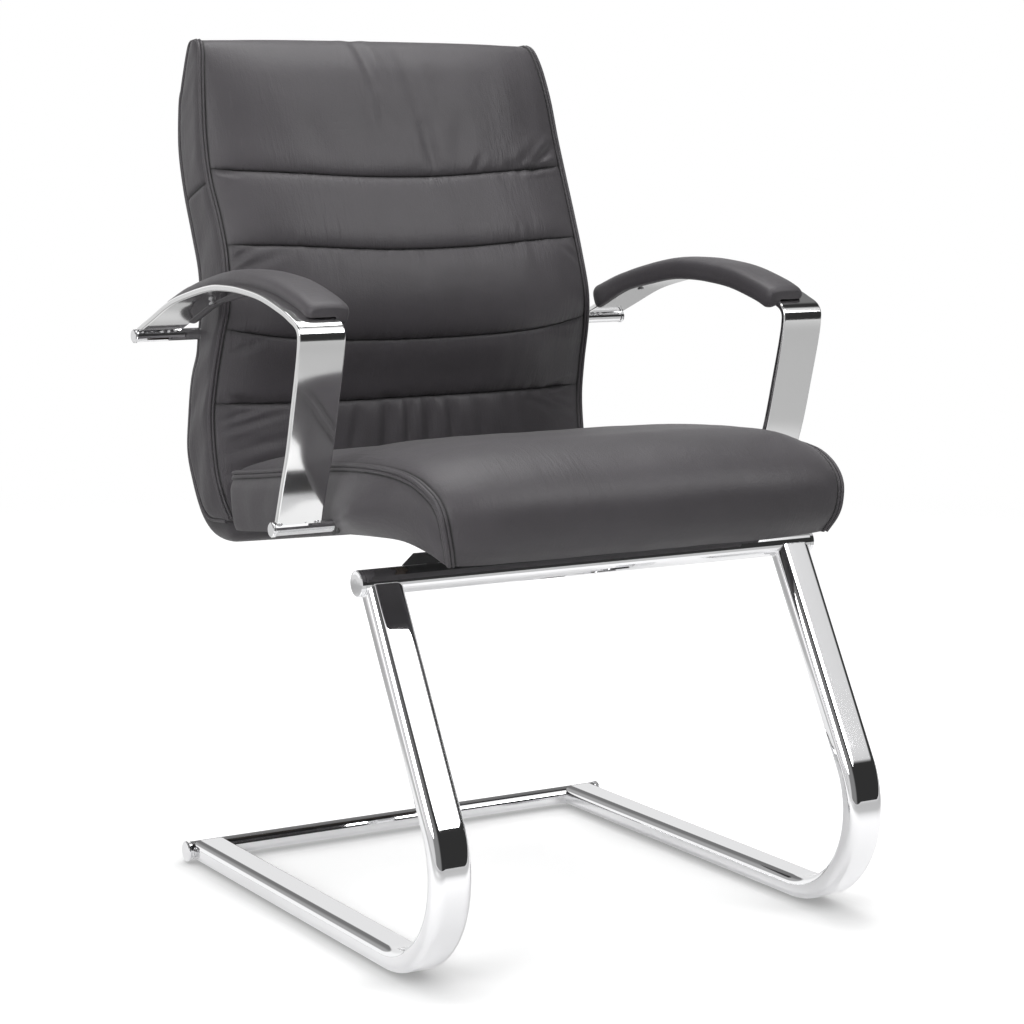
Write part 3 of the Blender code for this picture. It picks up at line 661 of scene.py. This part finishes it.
# Back cushion: five sewn panels in front, one leather border at each side
back = {
    # Half width, depth and height of the border in thousandths of the CAD cushion's box
    "border": (
        (980, 145, 8), (989, 245, 48), (1003, 310, 108), (1005, 353, 212), (999, 308, 297), (989, 229, 382),
        (971, 183, 455), (955, 242, 546), (954, 348, 628), (960, 476, 709), (953, 573, 792),
        (939, 640, 875), (922, 701, 937), (907, 748, 973), (897, 798, 993), (889, 856, 1000),
    ),
    "rearBorder": (
        (980, 185, 3), (984, 396, -1), (988, 490, 8), (993, 567, 32), (1001, 638, 78), (1007, 696, 135),
        (1004, 684, 200), (1000, 640, 280), (995, 562, 334), (989, 548, 379), (974, 557, 441),
        (959, 620, 520), (954, 743, 602), (960, 843, 686), (955, 937, 771), (942, 972, 855),
        (934, 958, 898), (920, 955, 937), (904, 962, 970), (892, 962, 992), (888, 930, 1001),
    ),
    "seamRises": (0.241, 0.404, 0.575, 0.733),
    "sags": (0.0, 0.012, 0.0185, 0.026),
    "panelRows": (46, 40, 40, 38, 64), "rowCrowding": 1.6, "columns": (100, 22, 0.05),
    "crown": 0.034, "crownPower": 4, "crownRoot": 0.85,
    "crownAlong": (
        (0, 0.30), (0.08, 0.52), (0.17, 0.68), (0.245, 0.72), (0.33, 0.96), (0.41, 1.17), (0.50, 1.12),
        (0.65, 1.0), (0.8, 0.95), (0.9, 0.74), (0.96, 0.34), (1, 0.05),
    ),
    "lip": 0.0020, "lipWidth": 0.0060, "piping": 0.0020, "pipingSteps": 330,
    # The channel of a seam, and how shallow it is by the lip
    "seamDepth": 0.0085, "seamReach": 0.030, "seamPower": 2.6, "seamRoot": 0.5,
    "seamFade": 0.030, "seamShallow": 0.15, "seamWidth": 0.0016,
    "edgeFade": 0.012, "topCalm": 0.12, "pullReach": 0.020,
    # Waves hold depth, size, stretch up the border, and seed
    "waves": ((0.0008, 0.085, 1, 7.7), (0.0009, 0.030, 2.2, 1.3)),
    "gathers": (0.0042, 0.011, 5, 3.1), "gatherReach": 0.013, "gatherShift": 0.4,
    "patches": (1, 0.060, 3, 5.2), "patchShare": 0.25,
    "rearBulge": 0.006, "rearBulgeFrom": 0.86, "rearBulgeRun": 0.08, "rearBulgeRim": 0.03,
    "sideSteps": (14, 16, 0.16), "sideStart": 0.0030, "sideRim": 0.014, "sideSwell": 0.0032,
    "sideWave": (0.0019, 0.034, 1.6, 5.5), "sideSeam": 0.0026, "sideSeamWidth": 0.0010,
    # The seam across each side
    "crossSeam": 0.412, "crossWidth": 0.0022, "crossDepth": 0.0028, "crossFade": 0.006,
}


# Dark lines by the seams and the piping: thread, and painted shade in the grooves
stitchShadeLines = {"past": 0.0004, "width": 0.0011, "fineWidth": 0.0006, "fineTone": 0.6}


def acrossColumns(half, rimSteps, rimReach):
    # Columns from -1 to 1 that stand close together along both borders
    rim = np.linspace(0, rimReach, rimSteps, endpoint=False)
    edge = np.concatenate([rim, np.linspace(rimReach, 1, half + 1 - rimSteps)])
    return np.concatenate([edge - 1, (1 - edge)[::-1][1:]])


def sideShares(rim, middle, reach):
    # Steps over a side border that stand close together along both of its seams
    start = np.linspace(0, reach, rim, endpoint=False)
    between = np.linspace(reach, 1 - reach, middle, endpoint=False)
    return np.concatenate([start, between, np.linspace(1 - reach, 1, rim + 1)])[1:-1]


def gridOf(line, shares, columns):
    # Half width, distance from the middle and from the border, and length up the border
    width = spread(line, shares)[..., 0]
    return width, width * columns, width * (1 - np.abs(columns)), shares * lineRun(line)[-1]


def panelLift(gap, room, shares, dims):
    # Lift of a panel at a distance from its border: a small lip by the piping, then the crown
    q = unit((gap - dims["lipWidth"]) / (room - dims["lipWidth"]))
    lipShare = unit((gap - dims["piping"]) / (dims["lipWidth"] - dims["piping"]))
    lip = dims["lip"] * np.sin(np.pi * lipShare) ** 0.7
    crown = dims["crown"] * (1 - (1 - q) ** dims["crownPower"]) ** dims["crownRoot"]
    crownAlong = smoothLine(dims["crownAlong"])
    return lip + crown * np.interp(shares, crownAlong[:, 0], crownAlong[:, 1])


def sewnLine(gap, place, width):
    return np.exp(-((gap - place) / width) ** 2)


def stitchShadeRim(gap, seam, piping):
    # Dark lines just past the seam, and finer and fainter ones by the piping: partly stitches, partly
    # painted shade in the grooves
    fine = sewnLine(gap, piping, stitchShadeLines["fineWidth"])
    return sewnLine(gap, seam, stitchShadeLines["width"]) + stitchShadeLines["fineTone"] * fine


def borderStitchShade(gap, dims):
    return stitchShadeRim(gap, dims["lipWidth"] + stitchShadeLines["past"], dims["piping"])


def stuffedSide(here, edge, steps, dims):
    # A side fills out from its seam, with waves. A wave is its depth, size, slant and seed
    depth, size, slant, seed = dims["sideWave"]
    waves = [noise.noise(Vector((here / size + slant * t, 1.4 * t, seed))) for t in steps]
    full = 1 - (1 - unit((edge - dims["sideStart"]) / dims["sideRim"])) ** 3
    return full * (dims["sideSwell"] + depth * np.array(waves))


def backShares(line, dims):
    # Shares of the border's length at each row and column, with the seams' sag
    length = lineRun(line)[-1]
    low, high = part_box("back_cushion")
    seams = [shareAt(line, low.z + (high.z - low.z) * rise) for rise in dims["seamRises"]]
    columns = acrossColumns(*dims["columns"])
    ends = [0, *seams, 1]
    sags = [0, *[sag / length for sag in dims["sags"]], 0]
    lastPanel = len(dims["panelRows"]) - 1
    shares, near, panels = [], [], []
    for panel, count in enumerate(dims["panelRows"]):
        steps = crowded(count + 1, dims["rowCrowding"])
        if panel < lastPanel:
            steps = steps[:-1]
        bottom = ends[panel] - sags[panel] * (1 - columns ** 2)
        top = ends[panel + 1] - sags[panel + 1] * (1 - columns ** 2)
        for q in steps:
            shares.append(bottom + (top - bottom) * q)
            panels.append(panel)
            toSeam = []
            if panel > 0:
                toSeam.append(q * (top - bottom))
            if panel < lastPanel:
                toSeam.append((1 - q) * (top - bottom))
            near.append(np.minimum.reduce(toSeam) * length)
    return np.array(shares), np.array(near), np.array(panels), columns, length


backFolds = {
    # Across and up the border line, to across and up, then width and depth, in millimetres
    "pleats": (
        (-70, 136, -80, 70, 7, 2.6), (-32, 138, -36, 52, 8, 4.4), (-4, 137, -3, 78, 5.5, 3.4),
        (24, 136, 27, 54, 7, 4.8), (54, 136, 60, 72, 6, 3.6), (94, 134, 104, 60, 9, 2.8),
        (-115, 138, -132, 86, 8, 1.8), (137, 130, 146, 90, 7.5, 1.6),
    ),
    "puckers": (
        (-246, 120, -204, 133, 3.6, 1.6), (-244, 108, -168, 128, 4.4, 1.7), (-242, 94, -206, 100, 4, 1.3),
        (-240, 84, -150, 98, 5.2, 1.6), (-238, 58, -176, 70, 5, 1.4), (-236, 40, -130, 46, 6, 1.3),
        (242, 114, 194, 133, 3.8, 1.8), (240, 98, 166, 128, 4.5, 1.8), (238, 80, 202, 110, 4, 1.2),
        (236, 58, 170, 72, 5.5, 1.2),
    ),
    "seamEnds": (
        (236, 456, 186, 418, 5.6, 4), (238, 430, 166, 411, 4.2, 2.8), (206, 448, 158, 414, 7, 1.6),
        (110, 432, 100, 408, 5, 1.6), (-240, 426, -212, 417, 4, 2.2), (-238, 296, -176, 316, 5, 1.6),
        (-240, 310, -214, 322, 3.6, 2.2), (238, 300, 206, 318, 4.2, 1.4), (-238, 206, -205, 222, 4.2, 1.4),
        (238, 212, 186, 226, 5, 1.6), (238, 150, 196, 138, 4.5, 1.8), (-238, 152, -204, 143, 4.5, 1.4),
    ),
    "topPanel": (
        (-28, 584, -22, 526, 7.5, 2.4), (-20, 520, -16, 470, 8, 0.9), (26, 560, 36, 470, 10, 1.3),
        (36, 470, 42, 404, 8, 1.4), (90, 480, 78, 414, 11, 1), (-110, 470, -94, 412, 13, 0.8),
    ),
}


def makeBack():
    line = smoothLine(inBox("back_cushion", back["border"]))
    rearLine = smoothLine(inBox("back_cushion", back["rearBorder"]))
    shares, near, panels, columns, length = backShares(line, back)
    rows = len(shares)
    width, across, gap, along = gridOf(line, shares, columns)
    pastLip = gap - back["lipWidth"]
    lift = panelLift(gap, width, shares, back)
    # Channels where the seams draw the panels in
    q = unit(near / back["seamReach"])
    valley = 1 - (1 - (1 - q) ** back["seamPower"]) ** back["seamRoot"]
    depth = back["seamDepth"] * np.clip(pastLip / back["seamFade"], back["seamShallow"], 1)
    lift -= depth * valley * (pastLip > 0)
    # Small gathers that the thread pulls into the leather, and slow waves of the stuffing
    patchy = unit(ripples(across, along, back["patches"]) + back["patchShare"])
    shifted = across + back["gatherShift"] * panels[:, None]
    gathers = ripples(shifted, along, back["gathers"]) * np.exp(-near / back["gatherReach"]) * patchy
    edgeFade = unit(pastLip / back["edgeFade"])
    calm = edgeFade * unit((1 - shares) / back["topCalm"])
    lift += calm * (gathers + sum(ripples(across, along, wave) for wave in back["waves"]))
    for folds in backFolds.values():
        lift += strokes(across, along, np.array(folds) / 1000) * edgeFade
    front = faceOf(line, shares, columns, lift, 1)
    # The rear face bulges a little below the top edge
    rearShares = np.repeat(shares[:, :1], len(columns), axis=1)
    rearGap = gridOf(rearLine, rearShares, columns)[2]
    start = back["rearBulgeFrom"]
    rise = unit((rearShares - start) / back["rearBulgeRun"]) * (1 - rearShares) / (1 - start)
    rearLift = back["rearBulge"] * rise * (1 - (1 - unit(rearGap / back["rearBulgeRim"])) ** 2)
    rear = faceOf(rearLine, rearShares, columns, rearLift, -1)
    boxing = np.linalg.norm(front[:, -1] - rear[:, -1], axis=1)

    def onSide(v, t):
        # Length up the border, and distance to the nearer of the side's two seams
        row = round(v * (rows - 1))
        return shares[row, 0] * length, np.minimum(t, 1 - t) * boxing[row]

    def sideLift(v, t):
        here, edge = onSide(v, t)
        cross = back["crossDepth"] * sewnLine(here, back["crossSeam"], back["crossWidth"])
        return stuffedSide(here, edge, t, back) - cross * unit(edge / back["crossFade"])

    # Dark lines along the side's seams and across it: stitches and painted shade in the seams
    def sideStitchShade(v, t):
        here, edge = onSide(v, t)
        rims = sewnLine(edge, back["sideSeam"], back["sideSeamWidth"])
        return unit(rims + 0.8 * sewnLine(here, back["crossSeam"], 0.0012))

    # Dark lines along the seams and by the piping: stitches and painted shade in the grooves
    stitchShadeFront = np.exp(-near / back["seamWidth"]) * (pastLip > 0) + borderStitchShade(gap, back)
    pull = np.exp(-np.minimum(near, gap * 1.3) / back["pullReach"])
    marks = {
        # on the front, over a side, on the rear
        "sewn": (unit(stitchShadeFront), sideStitchShade, 0.0),
        "across": (across, lambda v, t: 0.3 + 0.1 * t, 0.5),
        "along": (along, lambda v, t: 0 * t + onSide(v, t)[0], 0.5),
        "pull": (pull, lambda v, t: np.exp(-np.minimum(t, 1 - t) * 6), 0.0),
    }
    piece = cushion("back_leather", front, rear, sideShares(*back["sideSteps"]), sideLift, leather, marks)
    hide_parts("back_cushion")
    return line, rearLine


backLine, backRearLine = makeBack()
# Piping up the front edge, over the top corner and down the rear edge
upFront = spread(backLine, np.linspace(0, 1, 150))
downRear = spread(backRearLine, np.linspace(1, 0, 150))
pipingLine = spread(np.vstack([upFront, downRear[1:]]), np.linspace(0, 1, back["pipingSteps"]))
for word, side in sides.items():
    tube("back_piping_" + word, pipingLine * (side, 1, 1), back["piping"], leather)
print("back cushion made")


# Rear panel: a padded board behind the back, with its own rounded rim
rearPanel = {
    "top": 0.925, "depth": 0.026, "middle": 0.005, "rim": 0.024, "inner": 0.006,
    "wave": (0.0012, 0.11, 1, 2.9), "rows": 120, "rowCrowding": 2.2, "columns": (50, 22, 0.10),
    "sideSteps": (1, 2, 0.25), "seamWidth": 0.003, "seamShadeTone": 0.7,
}


def makeRearPanel():
    topShare = shareAt(backRearLine, rearPanel["top"])
    line = spread(backRearLine, np.linspace(0, topShare, 300))
    columns = acrossColumns(*rearPanel["columns"])
    shares = np.repeat(crowded(rearPanel["rows"], rearPanel["rowCrowding"])[:, None], len(columns), axis=1)
    width, across, gap, along = gridOf(line, shares, columns)
    toTop = lineRun(line)[-1] - along

    def rounded(distance):
        return np.sqrt(unit(1 - (1 - unit(distance / rearPanel["rim"])) ** 2))

    upper = rounded(toTop)
    lift = rearPanel["depth"] * rounded(gap) * rounded(along) * upper
    lift += rearPanel["middle"] * unit(gap / width) ** 0.7 * upper
    lift += ripples(across, along, rearPanel["wave"]) * rounded(gap) * upper
    outer = faceOf(line, shares, columns, lift, -1)
    inner = faceOf(line, shares, columns, np.full(lift.shape, -rearPanel["inner"]), -1)
    # Dark lines along the panel's rim and top: its seam, and painted shade where the rim turns
    rims = np.exp(-gap / rearPanel["seamWidth"]) + np.exp(-toTop / rearPanel["seamWidth"])
    marks = {"sewn": (unit(rims) * rearPanel["seamShadeTone"], lambda v, t: 0 * t + 0.5, 0.0)}
    steps = sideShares(*rearPanel["sideSteps"])
    piece = cushion("rear_panel_leather", outer, inner, steps, lambda v, t: 0 * t, leather, marks)
    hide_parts("back_rear_panel")


makeRearPanel()
print("rear panel made")


# Seat cushion: a top panel that falls over the front, with side borders and piping
seat = {
    "tilt": math.radians(5.1),
    # As for the back, in the tilted seat's own box
    "border": (
        (912, 80, -22), (936, 61, 105), (951, 53, 215), (962, 52, 366), (967, 59, 470), (971, 75, 560),
        (977, 99, 638), (982, 132, 710), (985, 164, 752), (987, 220, 797), (988, 320, 832), (990, 474, 837),
        (990, 661, 781), (986, 855, 740), (982, 962, 722), (970, 996, 700),
    ),
    "underBorder": (
        (911, 88, -35), (924, 108, 16), (947, 140, 90), (970, 206, 170), (982, 298, 193), (988, 471, 193),
        (988, 759, 157), (978, 963, 130), (963, 994, 150),
    ),
    "rows": 150, "columns": (70, 20, 0.05),
    "crown": 0.022, "crownPower": 5, "crownRoot": 0.68,
    "crownAlong": (
        (0, 0.2), (0.06, 0.66), (0.14, 0.97), (0.24, 1.16), (0.34, 1.04), (0.6, 0.95), (0.9, 0.9), (1, 0.8),
    ),
    "lip": 0.0020, "lipWidth": 0.0066, "piping": 0.0022, "pipingSteps": 240, "pipingEnd": 0.985,
    "edgeFade": 0.012, "waves": ((0.0014, 0.10, 1, 4.2), (0.0004, 0.030, 1, 8.8)), "underLift": -0.0012,
    "sideSteps": (24, 14, 0.17), "sideStart": 0.0078, "sideRim": 0.020, "sideSwell": 0.0045,
    "sideWave": (0.0022, 0.05, 0, 9.1),
    # The side's welt: distance from the piping, width and lift
    "welt": (0.0024, 0.0052, 0.0016),
    # The fullest place of a side: depth, share of the border's length, and reach
    "sideBulge": (0.0200, 0.32, 0.12),
    "pullReach": 0.030, "pull": 0.6,
}


def seatLocal(depth, height):
    # Depth and height along and square to the tilted seat, from the cross tube's axis
    cos, sin = math.cos(seat["tilt"]), math.sin(seat["tilt"])
    y, z = depth - crossAxis.y, height - crossAxis.z
    return np.array([y * cos - z * sin, z * cos + y * sin])


def seatWorld(depth, height):
    cos, sin = math.cos(seat["tilt"]), math.sin(seat["tilt"])
    return crossAxis.y + depth * cos + height * sin, crossAxis.z + height * cos - depth * sin


def seatLine(border):
    spots = np.array([seatLocal(corner.co.y, corner.co.z) for corner in cad["seat_cushion"].data.vertices])
    low, high = spots.min(axis=0), spots.max(axis=0)
    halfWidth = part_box("seat_cushion")[1].x
    line = [
        (halfWidth * width, *seatWorld(*(low + (high - low) * (depth, rise))))
        for width, depth, rise in np.array(border) / 1000
    ]
    return smoothLine(line)


def makeSeat():
    line, underLine = seatLine(seat["border"]), seatLine(seat["underBorder"])
    length = lineRun(line)[-1]
    columns = acrossColumns(*seat["columns"])
    shares = np.repeat(np.linspace(0, 1, seat["rows"])[:, None], len(columns), axis=1)
    width, across, gap, along = gridOf(line, shares, columns)
    lift = panelLift(gap, width, shares, seat)
    edgeFade = unit(gap / seat["edgeFade"])
    lift += edgeFade * sum(ripples(across, along, wave) for wave in seat["waves"])
    top = faceOf(line, shares, columns, lift, 1)
    under = faceOf(underLine, shares, columns, np.full(lift.shape, seat["underLift"]), -1)
    sideHeight = np.linalg.norm(top[:, -1] - under[:, -1], axis=1)
    weltStart, weltWidth, weltLift = seat["welt"]
    bulgeDepth, bulgePlace, bulgeReach = seat["sideBulge"]

    def fromPiping(v, t):
        return t * sideHeight[round(v * (seat["rows"] - 1))]

    def sideLift(v, t):
        edge = fromPiping(v, t)
        welt = np.sin(np.pi * unit((edge - weltStart) / weltWidth)) ** 0.7 * weltLift
        bulge = bulgeDepth * math.exp(-((v - bulgePlace) / bulgeReach) ** 2) * np.sin(np.pi * t ** 1.5)
        return stuffedSide(v * length, edge, t, seat) * (1 - t ** 6) + bulge + welt

    # Dark lines by the side's welt and piping: stitches and painted shade in the grooves
    def sideStitchShade(v, t):
        return stitchShadeRim(fromPiping(v, t), seat["sideStart"] + stitchShadeLines["past"] / 2, weltStart)

    marks = {
        # on the top, over a side, on the underside
        "sewn": (borderStitchShade(gap, seat), sideStitchShade, 0.0),
        "across": (across, lambda v, t: 0.3 + 0.1 * t, 0.5),
        "along": (along, lambda v, t: 0 * t + v * length, 0.5),
        "pull": (seat["pull"] * np.exp(-gap / seat["pullReach"]), lambda v, t: np.exp(-t * 7), 0.0),
    }
    piece = cushion("seat_leather", top, under, sideShares(*seat["sideSteps"]), sideLift, leather, marks)
    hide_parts("seat_cushion")
    edge = spread(line, np.linspace(0, seat["pipingEnd"], seat["pipingSteps"]))
    for word, side in sides.items():
        tube("seat_piping_" + word, edge * (side, 1, 1), seat["piping"], leather)


makeSeat()
print("seat cushion made")


# Arm pads: stuffed leather over the strip, with an inner wall that hangs below it
pad = {
    # The pad runs between two shares of the strip's depth
    "ends": (0.940, 0.034), "rows": 110, "rowCrowding": 2.4, "height": 0.0155,
    # At the rear, further on, and the share of the length that the change takes
    "width": (0.037, 0.049, 0.5), "inset": (0.022, 0.017, 0.5), "hang": (0.7, 1, 0.35),
    "fill": (1.35, 1, 0.20), "endRound": 0.010, "endWidth": 0.80, "endHeight": 0.55, "endCentre": 0.30,
    # Across as shares of the width from the outer edge, up as shares of the height
    "section": (
        (0.02, 0.0), (-0.02, 0.30), (0.0, 0.58), (0.07, 0.80), (0.18, 0.94), (0.35, 1.0), (0.55, 1.01),
        (0.75, 0.97), (0.89, 0.86), (0.97, 0.66), (1.0, 0.35), (1.0, 0.0), (0.99, -0.35), (0.95, -0.62),
        (0.86, -0.70), (0.76, -0.60), (0.70, -0.30), (0.66, 0.0), (0.40, 0.0), (0.18, 0.0),
    ),
}


def blend(start, end, run, share):
    return start + (end - start) * min(1, share / run)


def makePad(word, side):
    ends = stripLow.y + (stripHigh.y - stripLow.y) * np.array(pad["ends"])
    startIndex, endIndex = [int(np.argmax(archLine[:, 0] < end)) for end in ends]
    path = spread(archLine[startIndex:endIndex], np.linspace(0, 1, 200))
    length = lineRun(path)[-1]
    shares = crowded(pad["rows"], pad["rowCrowding"])
    section = smoothLine(pad["section"] + pad["section"][:1], 3)[:-1]
    rings = []
    for share, point, normal in zip(shares, spread(path, shares), -normalsAt(path, shares)):
        toEnd = min(share, 1 - share) * length
        roundness = math.sqrt(max(0, 1 - (1 - min(1, toEnd / pad["endRound"])) ** 2))
        width, inset, hang, full = [blend(*pad[name], share) for name in ("width", "inset", "hang", "fill")]
        widthShare, heightShare = [blend(pad[name], 1, 1, roundness) for name in ("endWidth", "endHeight")]
        ring = []
        for across, up in section:
            up = up * hang if up < 0 else up
            x = stripHigh.x - inset - width * (0.5 + (across - 0.5) * widthShare)
            lift = pad["height"] * full * (pad["endCentre"] + (up - pad["endCentre"]) * heightShare)
            ring.append((side * x, *(point + normal * lift)))
        rings.append(ring)
    faces = ringFaces(len(rings), len(section))
    piece = addPiece("arm_pad_leather_" + word, np.vstack(rings), faces, leather)
    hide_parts("arm_pad_" + word)


for word, side in sides.items():
    makePad(word, side)
print("arm pads made")


# Floor: white to the camera, and for the metal a pool of light that fades around the chair
floorLook = {
    "near": -2.9, "reach": 30, "tone": (0.95, 0.95, 0.95, 1), "bounceTone": (0.24, 0.24, 0.24, 1),
    "poolTone": (0.56, 0.56, 0.56, 1), "poolEdges": (0.72, 1.15), "cameraGlow": 0.48, "mirrorGlow": 0.14,
    "shadowTone": 0.30, "shadowReach": 0.18, "shadowShare": 0.95, "shadowPower": 0.6,
    "backdropEdges": (1.6, 3.6), "mirrorBackdrop": 0.80,
}
# Room as the metal sees it, in a ray's direction. A part is its tone and its soft edges, from dark to light
roomParts = {
    "overhead": (1.25, ("slant", 0.722, 0.765), ("right", -0.20, 0.30), ("depth", -0.20, -0.45)),
    "overheadRight": (-0.50, ("slant", 0.722, 0.765), ("right", 0.57, 0.60), ("depth", -0.20, -0.45)),
    "backdrop": (0.85, ("depth", 0.25, 0.45), ("height", 0.38, 0.30)),
    "aloft": (0.17, ("depth", 0.05, 0.35), ("height", 0.30, 0.38)),
    "leftWall": (0.22, ("left", -0.1, 0.25), ("height", 0.85, 0.55)),
    "farLeftWall": (0.50, ("left", 0.80, 0.92), ("height", 0.45, 0.25)),
}
room = {"ambient": 0.17, "dimTone": 0.035, "white": (1, 1, 1, 1), "slant": 0.385}
lamps = {
    # place, aim, width, height, power, seen in the metal
    "frontRightBox": ((1.55, -2.40, 2.55), (0, -0.1, 0.35), 1.3, 1.3, 38, True),
    "leftBox": ((-2.7, -1.5, 2.1), (0, 0, 0.5), 1.6, 1.8, 52, True),
    "lowLeftBox": ((-1.25, -1.15, 0.55), (-0.2, -0.1, 0.45), 0.7, 0.7, 6, False),
    "topBox": ((0.2, 0.5, 3.2), (0, 0, 0.5), 2.4, 1.8, 58, True),
    "rearBox": ((1.2, 2.8, 2.2), (0, 0, 0.5), 1.8, 1.4, 18, False),
}
camera = {"place": (-1.50513, -2.5697, 0.86066), "turn": -30.7116, "drop": 8.1862, "lens": 91.91}


def makeFloor():
    mesh = bpy.data.meshes.new("floor")
    near, reach = floorLook["near"], floorLook["reach"]
    corners = [(-reach, near, 0), (reach, near, 0), (reach, reach, 0), (-reach, reach, 0)]
    mesh.from_pydata(corners, [], [(0, 1, 2, 3)])
    floor = bpy.data.objects.new("floor", mesh)
    bpy.context.scene.collection.objects.link(floor)
    material, paint = newPaint("floor_white")
    seen, mirrored, bounced = paint.ray("Camera"), paint.ray("Glossy"), paint.ray("Diffuse")
    away = paint.node("ShaderNodeVectorMath", {"operation": "LENGTH"}, {0: paint.place()}, "Value")
    faded = mirrored * paint.softStep(away, floorLook["poolEdges"])
    # The floor throws less light back up on the leather than the camera sees on it
    plain = paint.mix(bounced, floorLook["tone"], floorLook["bounceTone"])
    plain = paint.mix(faded, plain, floorLook["poolTone"])
    matt = paint.node("ShaderNodeBsdfDiffuse", values={"Color": plain})
    glow = paint.glow(floorLook["cameraGlow"] * seen + floorLook["mirrorGlow"] * (mirrored - faded))
    openFloor = paint.node("ShaderNodeAddShader", values={0: matt, 1: glow})
    # Soft contact shadow close to the tubes
    distance = {"Distance": floorLook["shadowReach"]}
    openness = paint.node("ShaderNodeAmbientOcclusion", {"samples": 16}, distance, "AO")
    shadow = floorLook["shadowShare"] * seen * (1 - openness) ** floorLook["shadowPower"]
    lit = paint.mixShader(shadow, openFloor, paint.glow(floorLook["shadowTone"]))
    # Away from the chair the floor turns into the white backdrop
    share = paint.softStep(away, floorLook["backdropEdges"]) * (seen + mirrored)
    backdrop = paint.glow(1 - (1 - floorLook["mirrorBackdrop"]) * mirrored)
    paint.finish(paint.mixShader(share, lit, backdrop))
    mesh.materials.append(material)


def makeRoom():
    world = bpy.data.worlds.new("studio")
    bpy.context.scene.world = world
    world.use_nodes = True
    paint = Paint(world.node_tree)
    way = paint.node("ShaderNodeTexCoord", output="Generated")
    split = paint.node("ShaderNodeSeparateXYZ", values={0: way})
    right, depth, height = [Wire(paint, socket) for socket in split.socket.node.outputs]
    ways = {
        "right": right, "left": 0 - right, "depth": depth, "height": height,
        "slant": height + room["slant"] * right,
    }
    mirrored = room["dimTone"]
    for tone, *edges in roomParts.values():
        for way, start, end in edges:
            edge = paint.softStep(ways[way], sorted((start, end)))
            tone = tone * (edge if start < end else 1 - edge)
        mirrored = mirrored + tone
    ambient, mirrorRoom, white = [
        paint.node("ShaderNodeBackground", values={"Color": room["white"], "Strength": strength})
        for strength in (room["ambient"], mirrored, 1.0)
    ]
    lit = paint.mixShader(paint.ray("Glossy"), ambient, mirrorRoom)
    straight = paint.ray("Camera") + paint.ray("Transmission")
    paint.finish(paint.mixShader(straight, lit, white), "ShaderNodeOutputWorld")


def makeLamps():
    for name, (place, aim, width, height, power, inMetal) in lamps.items():
        lamp = bpy.data.lights.new(name, "AREA")
        lamp.shape = "RECTANGLE"
        lamp.size = width
        lamp.size_y = height
        lamp.energy = power
        holder = bpy.data.objects.new(name, lamp)
        holder.location = place
        holder.rotation_euler = (Vector(aim) - Vector(place)).to_track_quat("-Z", "Y").to_euler()
        holder.visible_camera = False
        holder.visible_glossy = inMetal
        bpy.context.scene.collection.objects.link(holder)


def makeCamera():
    lens = bpy.data.cameras.new("camera")
    lens.lens = camera["lens"]
    lens.sensor_width = 36
    lens.clip_end = 100
    holder = bpy.data.objects.new("camera", lens)
    holder.location = camera["place"]
    holder.rotation_euler = (math.radians(90 - camera["drop"]), 0, math.radians(camera["turn"]))
    bpy.context.scene.collection.objects.link(holder)
    bpy.context.scene.camera = holder


makeFloor()
makeRoom()
makeLamps()
makeCamera()
bpy.context.scene.view_settings.view_transform = "Standard"
print("studio made")
